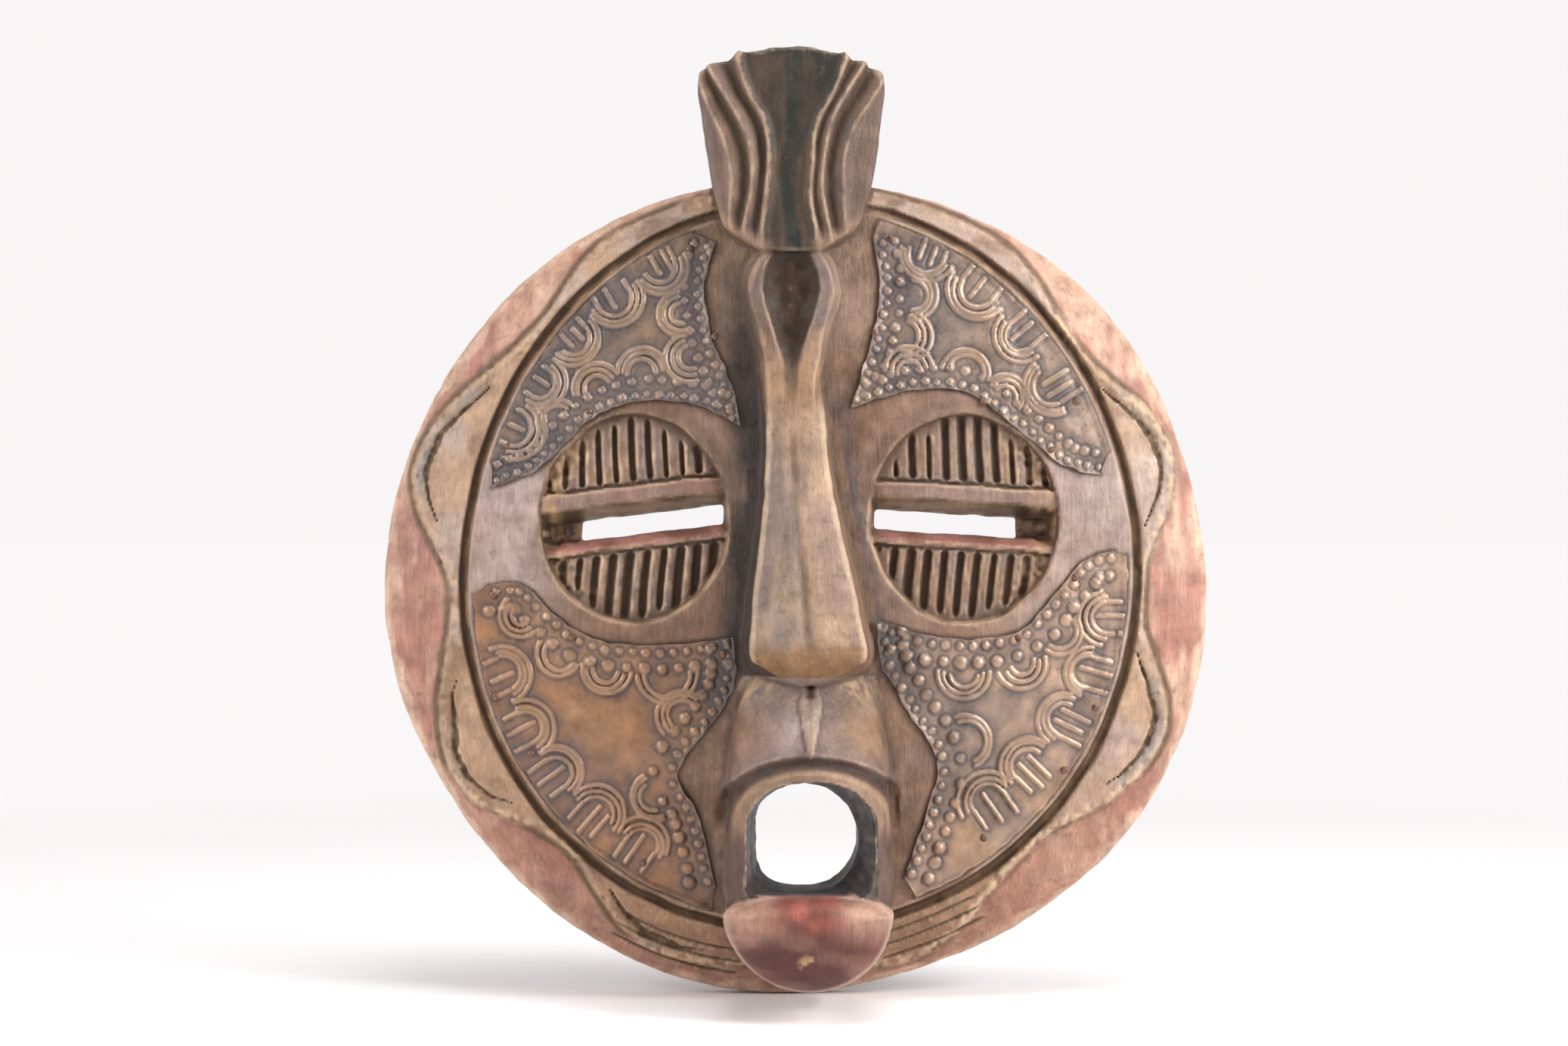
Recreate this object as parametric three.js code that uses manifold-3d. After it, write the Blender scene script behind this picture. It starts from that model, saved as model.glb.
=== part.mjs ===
// A round carved wooden wall mask with four embossed sheet-metal panels, tacks and a hanging ring.
// Millimetres. +X is to the right of a person who faces the mask, +Y runs into the wall and +Z is up.
// The origin is on the flat back of the rim, above the disc's centre, where the mask touches the wall.

import * as THREE from "three";
import { mergeVertices } from "three/addons/utils/BufferGeometryUtils.js";
import Module from "manifold-3d";

const wasm = await Module();
wasm.setup();

// ---------------------------------------------------------------- driving dimensions

const DISC_RADIUS = 198.6;
const DISC_CENTRE_X = -2.3;
const ORIGIN_ABOVE_CENTRE = 188;
const EDGE_THICKNESS = 14;
const GROOVE_HEIGHT = 34;
const GROOVE_DEPTH = 3.5;
const GROOVE_HALF_WIDTH = 2;
const DOME_HEIGHT = 50;
const WALL_THICKNESS = 17;
const BACK_RIM_WIDTH = 22;
const SEGMENTS = 60;

const EYE_X = 78.6;
const EYE_Z = 31.4;
const EYE_RADIUS_X = 45;
const EYE_RADIUS_Z = 49.5;
const SOCKET_DEPTH = 7;
const SOCKET_TILT = 0.1;
const SLIT_LENGTH = 67;
const SLIT_SHIFT = 8.5;
const SLIT = { low: -7.8, high: 1.7 };
const UPPER_BAR = { low: 8.8, high: 15.3 };
const LOWER_BAR = { low: -14, high: -7.8 };
const LID_BAR_LENGTH = 92;
const LID_BAR_FRONT = 6;
const SLIT_DROOP = { left: 0.12, right: 0.06 };
const LID_GROOVES = 9;
const LID_GROOVE_PITCH = 8;
const LID_GROOVE_WIDTH = 3.6;
const LID_GROOVE_DEPTH = 2.5;

const MOUTH = { x: 5.5, halfWidth: 30, bottom: -142, springLine: -112, top: -90 };

const SHEET = 0.5;
const SHEET_GAP = 0.3;

const TACK_HEAD_RADIUS = 1.8;
const TACK_HEAD_HEIGHT = 1.2;
const TACK_SHANK_RADIUS = 0.7;
const TACK_HOLE_RADIUS = 1.0;
const TACK_LENGTH = 8;

const CREST_X = -3.6;
const CREST_BACK_HEIGHT = 14;
const STAPLE_Z = 228;
const STAPLE_WIRE = 2;
const STAPLE_SPREAD = 8;
const STAPLE_REACH = 6;
const STAPLE_DEPTH = 9;
const RING_RADIUS = 10.8;
const RING_WIRE = 2.4;

const WOOD = { color: 0x8a6a4b, roughness: 0.7, metalness: 0 };
const EMBOSSED_METAL = { color: 0x7b6553, roughness: 0.5, metalness: 0.8 };
const TACK_METAL = { color: 0x6b4a38, roughness: 0.45, metalness: 0.8 };
const STEEL = { color: 0x8d8d88, roughness: 0.4, metalness: 0.9 };

// ---------------------------------------------------------------- solids and meshes

// Turns a closed three.js geometry into a solid that can be joined and cut.
function solid(geometry) {
  const plain = geometry.clone();
  plain.deleteAttribute("normal");
  plain.deleteAttribute("uv");
  const merged = mergeVertices(plain, 1e-4);
  const mesh = new wasm.Mesh({
    numProp: 3,
    vertProperties: new Float32Array(merged.attributes.position.array),
    triVerts: new Uint32Array(merged.index.array),
  });
  mesh.merge();
  return new wasm.Manifold(mesh);
}

function geometryOf(manifold) {
  const mesh = manifold.getMesh();
  const geometry = new THREE.BufferGeometry();
  geometry.setAttribute("position", new THREE.BufferAttribute(mesh.vertProperties, 3));
  geometry.setIndex(new THREE.BufferAttribute(mesh.triVerts, 1));
  return geometry;
}

const mask = new THREE.Group();
mask.position.set(0, 0, -ORIGIN_ABOVE_CENTRE);

function addPart(name, geometry, look, parent = mask) {
  const flat = geometry.index ? geometry.toNonIndexed() : geometry;
  flat.computeVertexNormals();
  const mesh = new THREE.Mesh(flat, new THREE.MeshStandardMaterial(look));
  mesh.name = name;
  parent.add(mesh);
  return mesh;
}

// Closes a stack of equal loops of points into one solid: a skin between the loops and a fan on each end.
function loft(loops) {
  const count = loops[0].length;
  const positions = loops.flat().flatMap((point) => [point.x, point.y, point.z]);
  const faces = [];
  for (let ring = 0; ring < loops.length - 1; ring++) {
    for (let i = 0; i < count; i++) {
      const a = ring * count + i;
      const b = ring * count + ((i + 1) % count);
      faces.push(a, b, b + count, a, b + count, a + count);
    }
  }
  const last = (loops.length - 1) * count;
  for (let i = 1; i < count - 1; i++) {
    faces.push(0, i + 1, i);
    faces.push(last, last + i, last + i + 1);
  }
  const geometry = new THREE.BufferGeometry();
  geometry.setAttribute("position", new THREE.Float32BufferAttribute(positions, 3));
  geometry.setIndex(faces);
  const body = solid(geometry);
  return body.volume() < 0 ? solid(flipped(geometry)) : body;
}

function flipped(geometry) {
  const copy = geometry.clone();
  const faces = Array.from(copy.index.array);
  for (let i = 0; i < faces.length; i += 3) {
    [faces[i + 1], faces[i + 2]] = [faces[i + 2], faces[i + 1]];
  }
  copy.setIndex(faces);
  return copy;
}

// Extrudes a front-view outline from one height above the wall to another. Height grows towards the viewer.
function block(outline, low, high) {
  const points = outline.getPoints(6);
  const distinct = points.filter((point, i) => point.distanceTo(points[(i + 1) % points.length]) > 0.01);
  const geometry = new THREE.ExtrudeGeometry(new THREE.Shape(distinct), {
    depth: high - low,
    bevelEnabled: false,
  });
  geometry.rotateX(Math.PI / 2);
  geometry.translate(0, -low, 0);
  return solid(geometry);
}

// ---------------------------------------------------------------- dish

function outlineRadius(angle) {
  return DISC_RADIUS + 1.8 * Math.cos(angle) - 0.7 * Math.sin(angle) + Math.cos(2 * angle)
    - 0.7 * Math.sin(4 * angle) - 1.1 * Math.cos(5 * angle) - 0.7 * Math.sin(5 * angle);
}

// The carved ring groove is nearly round below and rises towards the crest.
function grooveRadius(angle) {
  return 168 + 3 * Math.cos(angle) + 7.2 * Math.sin(angle) - 6.6 * Math.cos(2 * angle)
    + 1.3 * Math.sin(2 * angle) - 1.5 * Math.sin(3 * angle);
}

function discPoint(angle, radius, height) {
  return new THREE.Vector3(
    DISC_CENTRE_X + radius * Math.cos(angle), -height, radius * Math.sin(angle));
}

function domeHeight(fraction) {
  return GROOVE_HEIGHT + (DOME_HEIGHT - GROOVE_HEIGHT) * (1 - fraction * fraction);
}

function heightAt(x, z) {
  const radius = Math.hypot(x - DISC_CENTRE_X, z);
  const angle = Math.atan2(z, x - DISC_CENTRE_X);
  return domeHeight(Math.min(1, radius / grooveRadius(angle)));
}

// One ring of the dish: radius and height as functions of the angle.
function ring(radius, height) {
  const points = [];
  for (let i = 0; i < SEGMENTS; i++) {
    const angle = (2 * Math.PI * i) / SEGMENTS;
    points.push(discPoint(angle, radius(angle), height));
  }
  return points;
}

const DOME_RINGS = [0.04, 0.3, 0.52, 0.72, 0.88];

function domeRings(offset) {
  const rings = DOME_RINGS.map((fraction) =>
    ring((angle) => fraction * grooveRadius(angle), domeHeight(fraction) + offset));
  rings.push(ring((angle) => grooveRadius(angle) - GROOVE_HALF_WIDTH, GROOVE_HEIGHT + offset));
  return rings;
}

function dish() {
  const rings = domeRings(0);
  rings.push(ring(grooveRadius, GROOVE_HEIGHT - GROOVE_DEPTH));
  rings.push(ring((angle) => grooveRadius(angle) + GROOVE_HALF_WIDTH, GROOVE_HEIGHT - 0.5));
  const slope = [[0.4, 28.5], [0.75, 21], [1, EDGE_THICKNESS]];
  for (const [part, height] of slope) {
    rings.push(ring((angle) => THREE.MathUtils.lerp(grooveRadius(angle), outlineRadius(angle), part), height));
  }
  rings.push(ring(outlineRadius, 3));
  rings.push(ring((angle) => outlineRadius(angle) - 3, 0));
  const hollow = [[1, 0], [0.95, 11], [0.86, 18], [0.62, 26], [0.32, 31], [0.04, DOME_HEIGHT - WALL_THICKNESS]];
  for (const [part, height] of hollow) {
    rings.push(ring((angle) => part * (outlineRadius(angle) - BACK_RIM_WIDTH), height));
  }
  return loft(rings);
}

// ---------------------------------------------------------------- face

// Stacks cross-sections of a form that stands out of the dome. Each section is a rounded arch at one height.
function ridge(sections, sides = 12, fullness = 0.8) {
  return loft(sections.map(({ z, x, half, base, front }) => {
    const points = [];
    for (let i = 0; i <= sides; i++) {
      const angle = (Math.PI * i) / sides;
      const rise = Math.pow(Math.max(0, Math.sin(angle)), fullness);
      const spread = Math.sign(Math.cos(angle)) * Math.pow(Math.abs(Math.cos(angle)), fullness);
      points.push(new THREE.Vector3(x - half * spread, -(base + (front - base) * rise), z));
    }
    return points;
  }));
}

function nose() {
  return ridge([
    { z: 92, x: -1.6, half: 9, base: 40, front: 61 },
    { z: 61, x: -1, half: 13.5, base: 40, front: 69 },
    { z: 21, x: 1, half: 18.5, base: 40, front: 77 },
    { z: -19, x: 3.4, half: 25, base: 40, front: 84 },
    { z: -34, x: 4.3, half: 26, base: 40, front: 86 },
    { z: -42, x: 4.3, half: 22, base: 40, front: 83 },
    { z: -46, x: 4.3, half: 14, base: 40, front: 72 },
  ]);
}

function muzzle() {
  return ridge([
    { z: -38, x: 4.4, half: 26, base: 40, front: 54 },
    { z: -54, x: 4.4, half: 33, base: 40, front: 72 },
    { z: -72, x: 4.4, half: 37.5, base: 38, front: 86 },
    { z: -90, x: 4.4, half: 39.5, base: 36, front: 97 },
    { z: -120, x: 4.4, half: 40, base: 32, front: 102 },
    { z: -150, x: 4.4, half: 39.5, base: 25, front: 104 },
    { z: -172, x: 4.4, half: 30, base: 14, front: 98 },
    { z: -183, x: 4.4, half: 18, base: 10, front: 84 },
    { z: -190, x: 4.4, half: 8, base: 8, front: 40 },
  ], 14, 0.7);
}

function lowerLip() {
  return ridge([
    { z: -139, x: 4.3, half: 35, base: 60, front: 106 },
    { z: -145, x: 4.3, half: 39, base: 60, front: 113 },
    { z: -158, x: 4.3, half: 38, base: 60, front: 117 },
    { z: -172, x: 4.3, half: 31, base: 60, front: 115 },
    { z: -182, x: 4.3, half: 22, base: 60, front: 108 },
    { z: -188, x: 4.3, half: 10, base: 60, front: 96 },
  ], 14, 0.7);
}

function mouthOutline() {
  const half = MOUTH.halfWidth;
  const shape = new THREE.Shape();
  shape.moveTo(MOUTH.x - half, MOUTH.bottom);
  shape.lineTo(MOUTH.x - half, MOUTH.springLine);
  shape.quadraticCurveTo(MOUTH.x - half * 0.7, MOUTH.top, MOUTH.x, MOUTH.top);
  shape.quadraticCurveTo(MOUTH.x + half * 0.7, MOUTH.top, MOUTH.x + half, MOUTH.springLine);
  shape.lineTo(MOUTH.x + half, MOUTH.bottom);
  return shape;
}

// A raised teardrop with a hollow in it, on the forehead between the crest and the nose.
function teardropOutline(radius, centreZ, tipZ, fullness) {
  const shape = new THREE.Shape();
  const bend = radius * fullness;
  shape.moveTo(CREST_X, tipZ);
  shape.quadraticCurveTo(CREST_X + bend, (centreZ + tipZ) / 2, CREST_X + radius, centreZ);
  shape.absarc(CREST_X, centreZ, radius, 0, Math.PI, false);
  shape.quadraticCurveTo(CREST_X - bend, (centreZ + tipZ) / 2, CREST_X, tipZ);
  return shape;
}

// ---------------------------------------------------------------- crest

const CREST_SECTIONS = [
  { z: 154, left: 27, right: 23, back: 20, front: 60 },
  { z: 168, left: 31.4, right: 31, back: 20, front: 62 },
  { z: 180, left: 35, right: 37, back: CREST_BACK_HEIGHT, front: 64 },
  { z: 203, left: 39.7, right: 41, back: CREST_BACK_HEIGHT, front: 67 },
  { z: 240, left: 43.6, right: 43.6, back: CREST_BACK_HEIGHT, front: 71 },
  { z: 248, left: 38, right: 39, back: 25, front: 72 },
  { z: 250.7, left: 27, right: 27, back: 30, front: 70 },
];

// Three flutes on each lobe, curving in towards the lobe's foot.
const FLUTE_TOP = 254;
const FLUTE_FOOT = 170;
const CREST_FLUTES = [
  { top: 24, middle: 15, foot: 14, topHeight: 70 },
  { top: 32, middle: 22, foot: 19, topHeight: 69 },
  { top: 39, middle: 30, foot: 24.5, topHeight: 66 },
];

function crest() {
  return loft(CREST_SECTIONS.map(({ z, left, right, back, front }) => {
    const outline = [
      [-left, back], [-left, front - 12], [-left * 0.86, front - 4], [-left * 0.45, front],
      [right * 0.45, front], [right * 0.86, front - 4], [right, front - 12], [right, back],
    ];
    return outline.map(([x, height]) => new THREE.Vector3(CREST_X + x, -height, z));
  }));
}

// One carved flute of the crest, from its top down to the lobe's foot. Its offsets are from the crest's middle.
function flute({ top, middle, foot, topHeight }, side) {
  const steps = 6;
  const loops = [];
  for (let i = 0; i <= steps; i++) {
    const t = i / steps;
    const offset = (1 - t) ** 2 * top + 2 * t * (1 - t) * middle + t ** 2 * foot;
    const x = CREST_X + side * offset;
    const z = THREE.MathUtils.lerp(FLUTE_TOP, FLUTE_FOOT, t);
    const height = THREE.MathUtils.lerp(topHeight, topHeight - 6, t);
    const corner = (across, above) => new THREE.Vector3(x + side * across, -(height + above), z);
    loops.push([corner(-1, -3), corner(3.4, -3), corner(2.4, 9), corner(-3.4, 9)]);
  }
  return loft(loops);
}

function crestFlutes() {
  return [-1, 1].flatMap((side) => CREST_FLUTES.map((shape) => flute(shape, side)));
}

// ---------------------------------------------------------------- eyes

const EYES = [
  { side: -1, droop: SLIT_DROOP.left },
  { side: 1, droop: SLIT_DROOP.right },
];

// Moves a solid made about an eye's own centre, with y = 0 on the socket floor, to its place on the mask.
function placeInEye(geometry, eye) {
  const x = eye.side * EYE_X;
  geometry.rotateZ(eye.side * SOCKET_TILT);
  geometry.translate(x, SOCKET_DEPTH - heightAt(x, EYE_Z), EYE_Z);
  return solid(geometry);
}

function socket(eye) {
  const reach = 40;
  const geometry = new THREE.CylinderGeometry(0.96, 1.19, reach, 36);
  geometry.translate(0, -reach / 2, 0);
  geometry.scale(EYE_RADIUS_X, 1, EYE_RADIUS_Z);
  return placeInEye(geometry, eye);
}

// A bar along the eye's slit. Its shift is towards the nose.
function barAcrossEye(eye, length, low, high, front, back, shift = 0) {
  const geometry = new THREE.BoxGeometry(length, front + back, high - low);
  geometry.translate(-eye.side * shift, (back - front) / 2, (low + high) / 2);
  geometry.rotateY(eye.side * eye.droop);
  return placeInEye(geometry, eye);
}

// The vertical flutes of the two lids, from the lid bars out to the edge of the socket.
function lidGrooves(eye) {
  const grooves = [];
  for (let i = 0; i < LID_GROOVES; i++) {
    const x = (i - (LID_GROOVES - 1) / 2) * LID_GROOVE_PITCH;
    const edge = 0.9 * EYE_RADIUS_Z * Math.sqrt(1 - (x / EYE_RADIUS_X) ** 2);
    const bend = eye.side * eye.droop * x;
    for (const [low, high] of [[UPPER_BAR.high + 1 - bend, edge], [-edge, LOWER_BAR.low - 1 - bend]]) {
      const geometry = new THREE.BoxGeometry(LID_GROOVE_WIDTH, 2 * LID_GROOVE_DEPTH, high - low);
      geometry.translate(x, 0, (low + high) / 2);
      grooves.push(placeInEye(geometry, eye));
    }
  }
  return grooves;
}

// ---------------------------------------------------------------- sheet-metal panels

// Each panel runs along the ring groove between two angles, then back along the nose and round the eye.
const PANELS = [
  {
    name: "panel_upper_left", from: 158, to: 106,
    noseSide: [[-40, 163], [-45, 142], [-41, 116], [-33, 97], [-27.3, 74.7]],
    eyeSide: [[-27.3, 74.7], [-48, 85], [-78, 87], [-101, 77], [-123, 56], [-147, 46]],
    tacks: [[-52, 160], [-40, 118], [-34, 80], [-100, 82], [-139, 66]],
  },
  {
    name: "panel_upper_right", from: 23, to: 77,
    noseSide: [[36, 165], [38.6, 139], [33.9, 114.3], [24.9, 84.1]],
    eyeSide: [[24.9, 84.1], [53.7, 92.4], [80, 91], [104, 74], [126, 57], [144.4, 52.4]],
    tacks: [[44, 165], [36, 120], [87.9, 86.6], [120, 64], [132.6, 87.3]],
  },
  {
    name: "panel_lower_left", from: 182, to: 256,
    noseSide: [[-40, -144], [-48, -110], [-57.1, -88.3], [-37, -60], [-30, -43], [-31.6, -25.3]],
    eyeSide: [[-31.6, -25.3], [-72, -29], [-100, -25], [-118, -13], [-131.6, -0.5], [-149, -1]],
    tacks: [[-36, -33], [-74.1, -133.3], [-128, -81.1], [-145, -53.8], [-108, -25.5], [-146, -5]],
  },
  {
    name: "panel_lower_right", from: 5, to: -69,
    noseSide: [[50, -140], [60.2, -110], [65.6, -84.7], [50, -57], [39, -37], [36.5, -16.7]],
    eyeSide: [[36.5, -16.7], [70, -25.5], [103.4, -22.5], [124.6, -2], [137.2, 12], [151, 16]],
    tacks: [[104.1, -25.5], [131.8, 3.5], [152.4, -23.5], [141.6, -58.8], [126.8, -89], [88.3, -121.1]],
  },
];

const PANEL_MARGIN = 5;
const OUTER_ARC_STEPS = 12;
const SPLINE_STEPS = 3;

function panelOutline({ from, to, noseSide, eyeSide }) {
  const points = [];
  for (let i = 0; i <= OUTER_ARC_STEPS; i++) {
    const angle = THREE.MathUtils.degToRad(THREE.MathUtils.lerp(from, to, i / OUTER_ARC_STEPS));
    const point = discPoint(angle, grooveRadius(angle) - PANEL_MARGIN, 0);
    points.push(new THREE.Vector2(point.x, point.z));
  }
  for (const side of [noseSide, eyeSide]) {
    const curve = new THREE.SplineCurve(side.map(([x, z]) => new THREE.Vector2(x, z)));
    points.push(...curve.getPoints(SPLINE_STEPS * (side.length - 1)));
  }
  return new THREE.Shape(points);
}

function domeShell(low, high) {
  return loft([...domeRings(high), ...domeRings(low).reverse()]);
}

// ---------------------------------------------------------------- tacks

// Turns a piece made along +Y, with y = 0 on the wood, to stand square on the dome at a point.
function placeOnDome(geometry, x, z) {
  const step = 0.5;
  const slopeX = (heightAt(x + step, z) - heightAt(x - step, z)) / (2 * step);
  const slopeZ = (heightAt(x, z + step) - heightAt(x, z - step)) / (2 * step);
  const inward = new THREE.Vector3(slopeX, 1, slopeZ).normalize();
  const turn = new THREE.Quaternion().setFromUnitVectors(new THREE.Vector3(0, 1, 0), inward);
  geometry.applyQuaternion(turn);
  geometry.translate(x, -heightAt(x, z), z);
  return geometry;
}

function tackGeometry() {
  const seat = -(SHEET_GAP + SHEET + 0.4);
  const profile = [
    [0, seat - TACK_HEAD_HEIGHT], [0.55 * TACK_HEAD_RADIUS, seat - 0.8 * TACK_HEAD_HEIGHT],
    [TACK_HEAD_RADIUS, seat], [TACK_SHANK_RADIUS, seat],
    [TACK_SHANK_RADIUS, TACK_LENGTH - 2], [0, TACK_LENGTH],
  ];
  return new THREE.LatheGeometry(profile.map(([radius, y]) => new THREE.Vector2(radius, y)), 8);
}

function tackHole() {
  const geometry = new THREE.CylinderGeometry(TACK_HOLE_RADIUS, TACK_HOLE_RADIUS, TACK_LENGTH + 4, 8);
  geometry.translate(0, (TACK_LENGTH + 4) / 2 - 3, 0);
  return geometry;
}

// ---------------------------------------------------------------- hanger

function roundWire(radius, sides = 8) {
  const shape = new THREE.Shape();
  shape.absarc(0, 0, radius, 0, 2 * Math.PI, false);
  return new THREE.Shape(shape.getSpacedPoints(sides).slice(0, sides));
}

// The staple's wire runs out of the wood, round its crown and back in, one leg above the other.
function staplePath() {
  const half = STAPLE_SPREAD / 2;
  const bend = 2.5;
  const inWood = -CREST_BACK_HEIGHT - STAPLE_DEPTH;
  const crown = -CREST_BACK_HEIGHT + STAPLE_REACH;
  const at = (y, z) => new THREE.Vector3(CREST_X, y, STAPLE_Z + z);
  const path = new THREE.CurvePath();
  path.add(new THREE.LineCurve3(at(inWood, -half), at(crown - bend, -half)));
  path.add(new THREE.QuadraticBezierCurve3(at(crown - bend, -half), at(crown, -half), at(crown, bend - half)));
  path.add(new THREE.LineCurve3(at(crown, bend - half), at(crown, half - bend)));
  path.add(new THREE.QuadraticBezierCurve3(at(crown, half - bend), at(crown, half), at(crown - bend, half)));
  path.add(new THREE.LineCurve3(at(crown - bend, half), at(inWood, half)));
  return path;
}

function stapleHoles() {
  return [-1, 1].map((side) => {
    const geometry = new THREE.CylinderGeometry(STAPLE_WIRE / 2 + 0.4, STAPLE_WIRE / 2 + 0.4, STAPLE_DEPTH + 6, 8);
    geometry.translate(CREST_X, -CREST_BACK_HEIGHT - STAPLE_DEPTH / 2 + 2, STAPLE_Z + (side * STAPLE_SPREAD) / 2);
    return solid(geometry);
  });
}

// ---------------------------------------------------------------- assembly

const shell = domeShell(SHEET_GAP, SHEET_GAP + SHEET);
const tackPoints = PANELS.flatMap(({ tacks }) => tacks);
const tackHoles = tackPoints.map(([x, z]) => solid(placeOnDome(tackHole(), x, z)));

function carvedBody() {
  let wood = dish();
  for (const eye of EYES) {
    wood = wood.subtract(socket(eye));
    wood = wood.add(barAcrossEye(eye, LID_BAR_LENGTH, UPPER_BAR.low, UPPER_BAR.high, LID_BAR_FRONT, 1));
    wood = wood.add(barAcrossEye(eye, LID_BAR_LENGTH, LOWER_BAR.low, LOWER_BAR.high, LID_BAR_FRONT, 1));
    wood = wood.subtract(barAcrossEye(eye, SLIT_LENGTH, SLIT.low, SLIT.high, 30, 30, SLIT_SHIFT));
    for (const groove of lidGrooves(eye)) {
      wood = wood.subtract(groove);
    }
  }
  const rim = block(teardropOutline(20.5, 139, 76, 0.8), 40, 57);
  const hollow = block(teardropOutline(14.5, 139, 86, 0.4), 50, 80);
  wood = wood.add(rim).add(crest()).subtract(hollow).add(nose()).add(muzzle()).add(lowerLip());
  wood = wood.subtract(block(mouthOutline(), -10, 140));
  for (const cut of [...crestFlutes(), ...tackHoles, ...stapleHoles()]) {
    wood = wood.subtract(cut);
  }
  return wood;
}

addPart("carved_body", geometryOf(carvedBody()), WOOD);

for (const panel of PANELS) {
  let sheet = shell.intersect(block(panelOutline(panel), 20, 70));
  for (const hole of tackHoles) {
    sheet = sheet.subtract(hole);
  }
  addPart(panel.name, geometryOf(sheet), EMBOSSED_METAL);
  panel.tacks.forEach(([x, z], i) => {
    const name = `${panel.name.replace("panel", "tack")}_${i + 1}`;
    addPart(name, geometryOf(solid(placeOnDome(tackGeometry(), x, z))), TACK_METAL);
  });
}

const staple = new THREE.ExtrudeGeometry(roundWire(STAPLE_WIRE / 2), { steps: 40, extrudePath: staplePath() });
addPart("hanger_staple", geometryOf(solid(staple)), STEEL);

const hangingRing = addPart("hanging_ring", geometryOf(solid(new THREE.TorusGeometry(RING_RADIUS, RING_WIRE / 2, 8, 24))), STEEL);
hangingRing.rotation.x = Math.PI / 2;
hangingRing.position.set(CREST_X, -CREST_BACK_HEIGHT + 3.2, STAPLE_Z - RING_RADIUS);

export default mask;
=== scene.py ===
"""A round carved wooden wall mask with four embossed sheet-metal panels, tacks and a hanging ring.

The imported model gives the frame. The carved block and the sheets are remade here with their full relief.
Shapes are worked out in millimetres from the disc's centre: x to the right, z up, h out of the wall.
"""
import math

import bpy
import numpy as np
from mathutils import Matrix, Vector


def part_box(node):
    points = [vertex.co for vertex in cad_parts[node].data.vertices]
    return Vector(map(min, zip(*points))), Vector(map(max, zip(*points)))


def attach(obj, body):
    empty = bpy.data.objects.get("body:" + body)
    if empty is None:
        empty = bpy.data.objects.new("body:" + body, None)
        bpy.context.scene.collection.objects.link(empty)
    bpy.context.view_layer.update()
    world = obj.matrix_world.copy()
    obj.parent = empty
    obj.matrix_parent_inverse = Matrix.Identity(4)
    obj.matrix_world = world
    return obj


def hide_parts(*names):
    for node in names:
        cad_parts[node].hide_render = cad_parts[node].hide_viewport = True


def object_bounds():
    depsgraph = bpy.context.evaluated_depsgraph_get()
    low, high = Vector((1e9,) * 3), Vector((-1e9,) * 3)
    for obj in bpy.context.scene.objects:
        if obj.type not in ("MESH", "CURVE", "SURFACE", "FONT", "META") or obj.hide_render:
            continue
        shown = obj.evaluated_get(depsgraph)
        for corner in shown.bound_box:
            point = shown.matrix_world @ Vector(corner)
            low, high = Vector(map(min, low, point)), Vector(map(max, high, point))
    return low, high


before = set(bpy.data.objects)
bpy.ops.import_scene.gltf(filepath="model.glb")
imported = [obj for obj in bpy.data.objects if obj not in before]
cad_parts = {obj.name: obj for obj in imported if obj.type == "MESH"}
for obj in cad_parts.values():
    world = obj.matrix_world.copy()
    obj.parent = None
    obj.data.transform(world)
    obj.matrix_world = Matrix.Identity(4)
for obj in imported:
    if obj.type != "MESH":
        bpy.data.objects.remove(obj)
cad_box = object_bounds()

import openvdb
from mathutils import Vector
from mathutils.geometry import delaunay_2d_cdt

# ---------------------------------------------------------------- sizes, in millimetres

METRE = 0.001
ORIGIN_ABOVE_CENTRE = 188
DISC_X = -2.3
DISC_RADIUS = 198.6
EDGE_THICKNESS = 14
GROOVE_HEIGHT = 34
GROOVE_DEPTH = 3.5
GROOVE_HALF_WIDTH = 3.0
DOME_HEIGHT = 50
BACK_RIM_WIDTH = 22
VOXEL = 1.1
# What the block of voxels holds before anything is added: well outside the wood.
FAR_OUTSIDE = 9.0
# The dome and the muzzle slope, so cutting straight down by a depth moves the surface by less.
ENGRAVE_SHARE = 0.75
# The back and the inside of the hollow keep this share of their triangles.
HIDDEN_SHARE = 0.22
# How far round a point its worn edges and its painted shade in the cuts look, in millimetres.
FINE_REACH = 1.9
BROAD_REACH = 3.7
SMOOTHING = 0.6

# The wavy line that runs round the rim: (angle in degrees, radius) at each crest and trough.
WAVE = [
    (0, 169), (20, 195), (39, 179), (61, 194.5), (90, 194), (116, 191), (136, 176), (162, 194),
    (182, 166), (210, 190.5), (228, 169), (250, 191.5), (268, 186), (287, 191.5), (311, 171), (337, 195),
    (356, 169), (360, 169),
]
WAVE_MEAN_RADIUS = 185
WAVE_DEPTH = 2.0
WAVE_HALF_WIDTH = 2.4
CRESCENTS = [(8, 34), (146, 171), (195, 219), (238, 257), (326, 350)]
GREY_CRESCENTS = [(146, 171), (326, 350)]
CRESCENT_INSET = 8.5
CRESCENT_HALF_WIDTH = 2.6
CRESCENT_DEPTH = 2.2
CHIN_LINES = [(241, 263), (282, 301)]
CHIN_INSETS = (10.5, 17, 23)
CHIN_LINE_DEPTH = 1.3
# Height of the rim by its share of the way from the groove to the edge.
RIM_PROFILE = [(0, 33.8), (0.15, 32.6), (0.4, 28.5), (0.75, 21), (1, EDGE_THICKNESS), (1.2, 8)]
# Height of the hollow's ceiling by its share of the way from the middle to the flat back rim.
HOLLOW_PROFILE = [(0.0, 32.5), (0.32, 30.5), (0.62, 25.5), (0.86, 17.5), (0.95, 10.5), (1, 0), (1.1, -25)]

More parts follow.
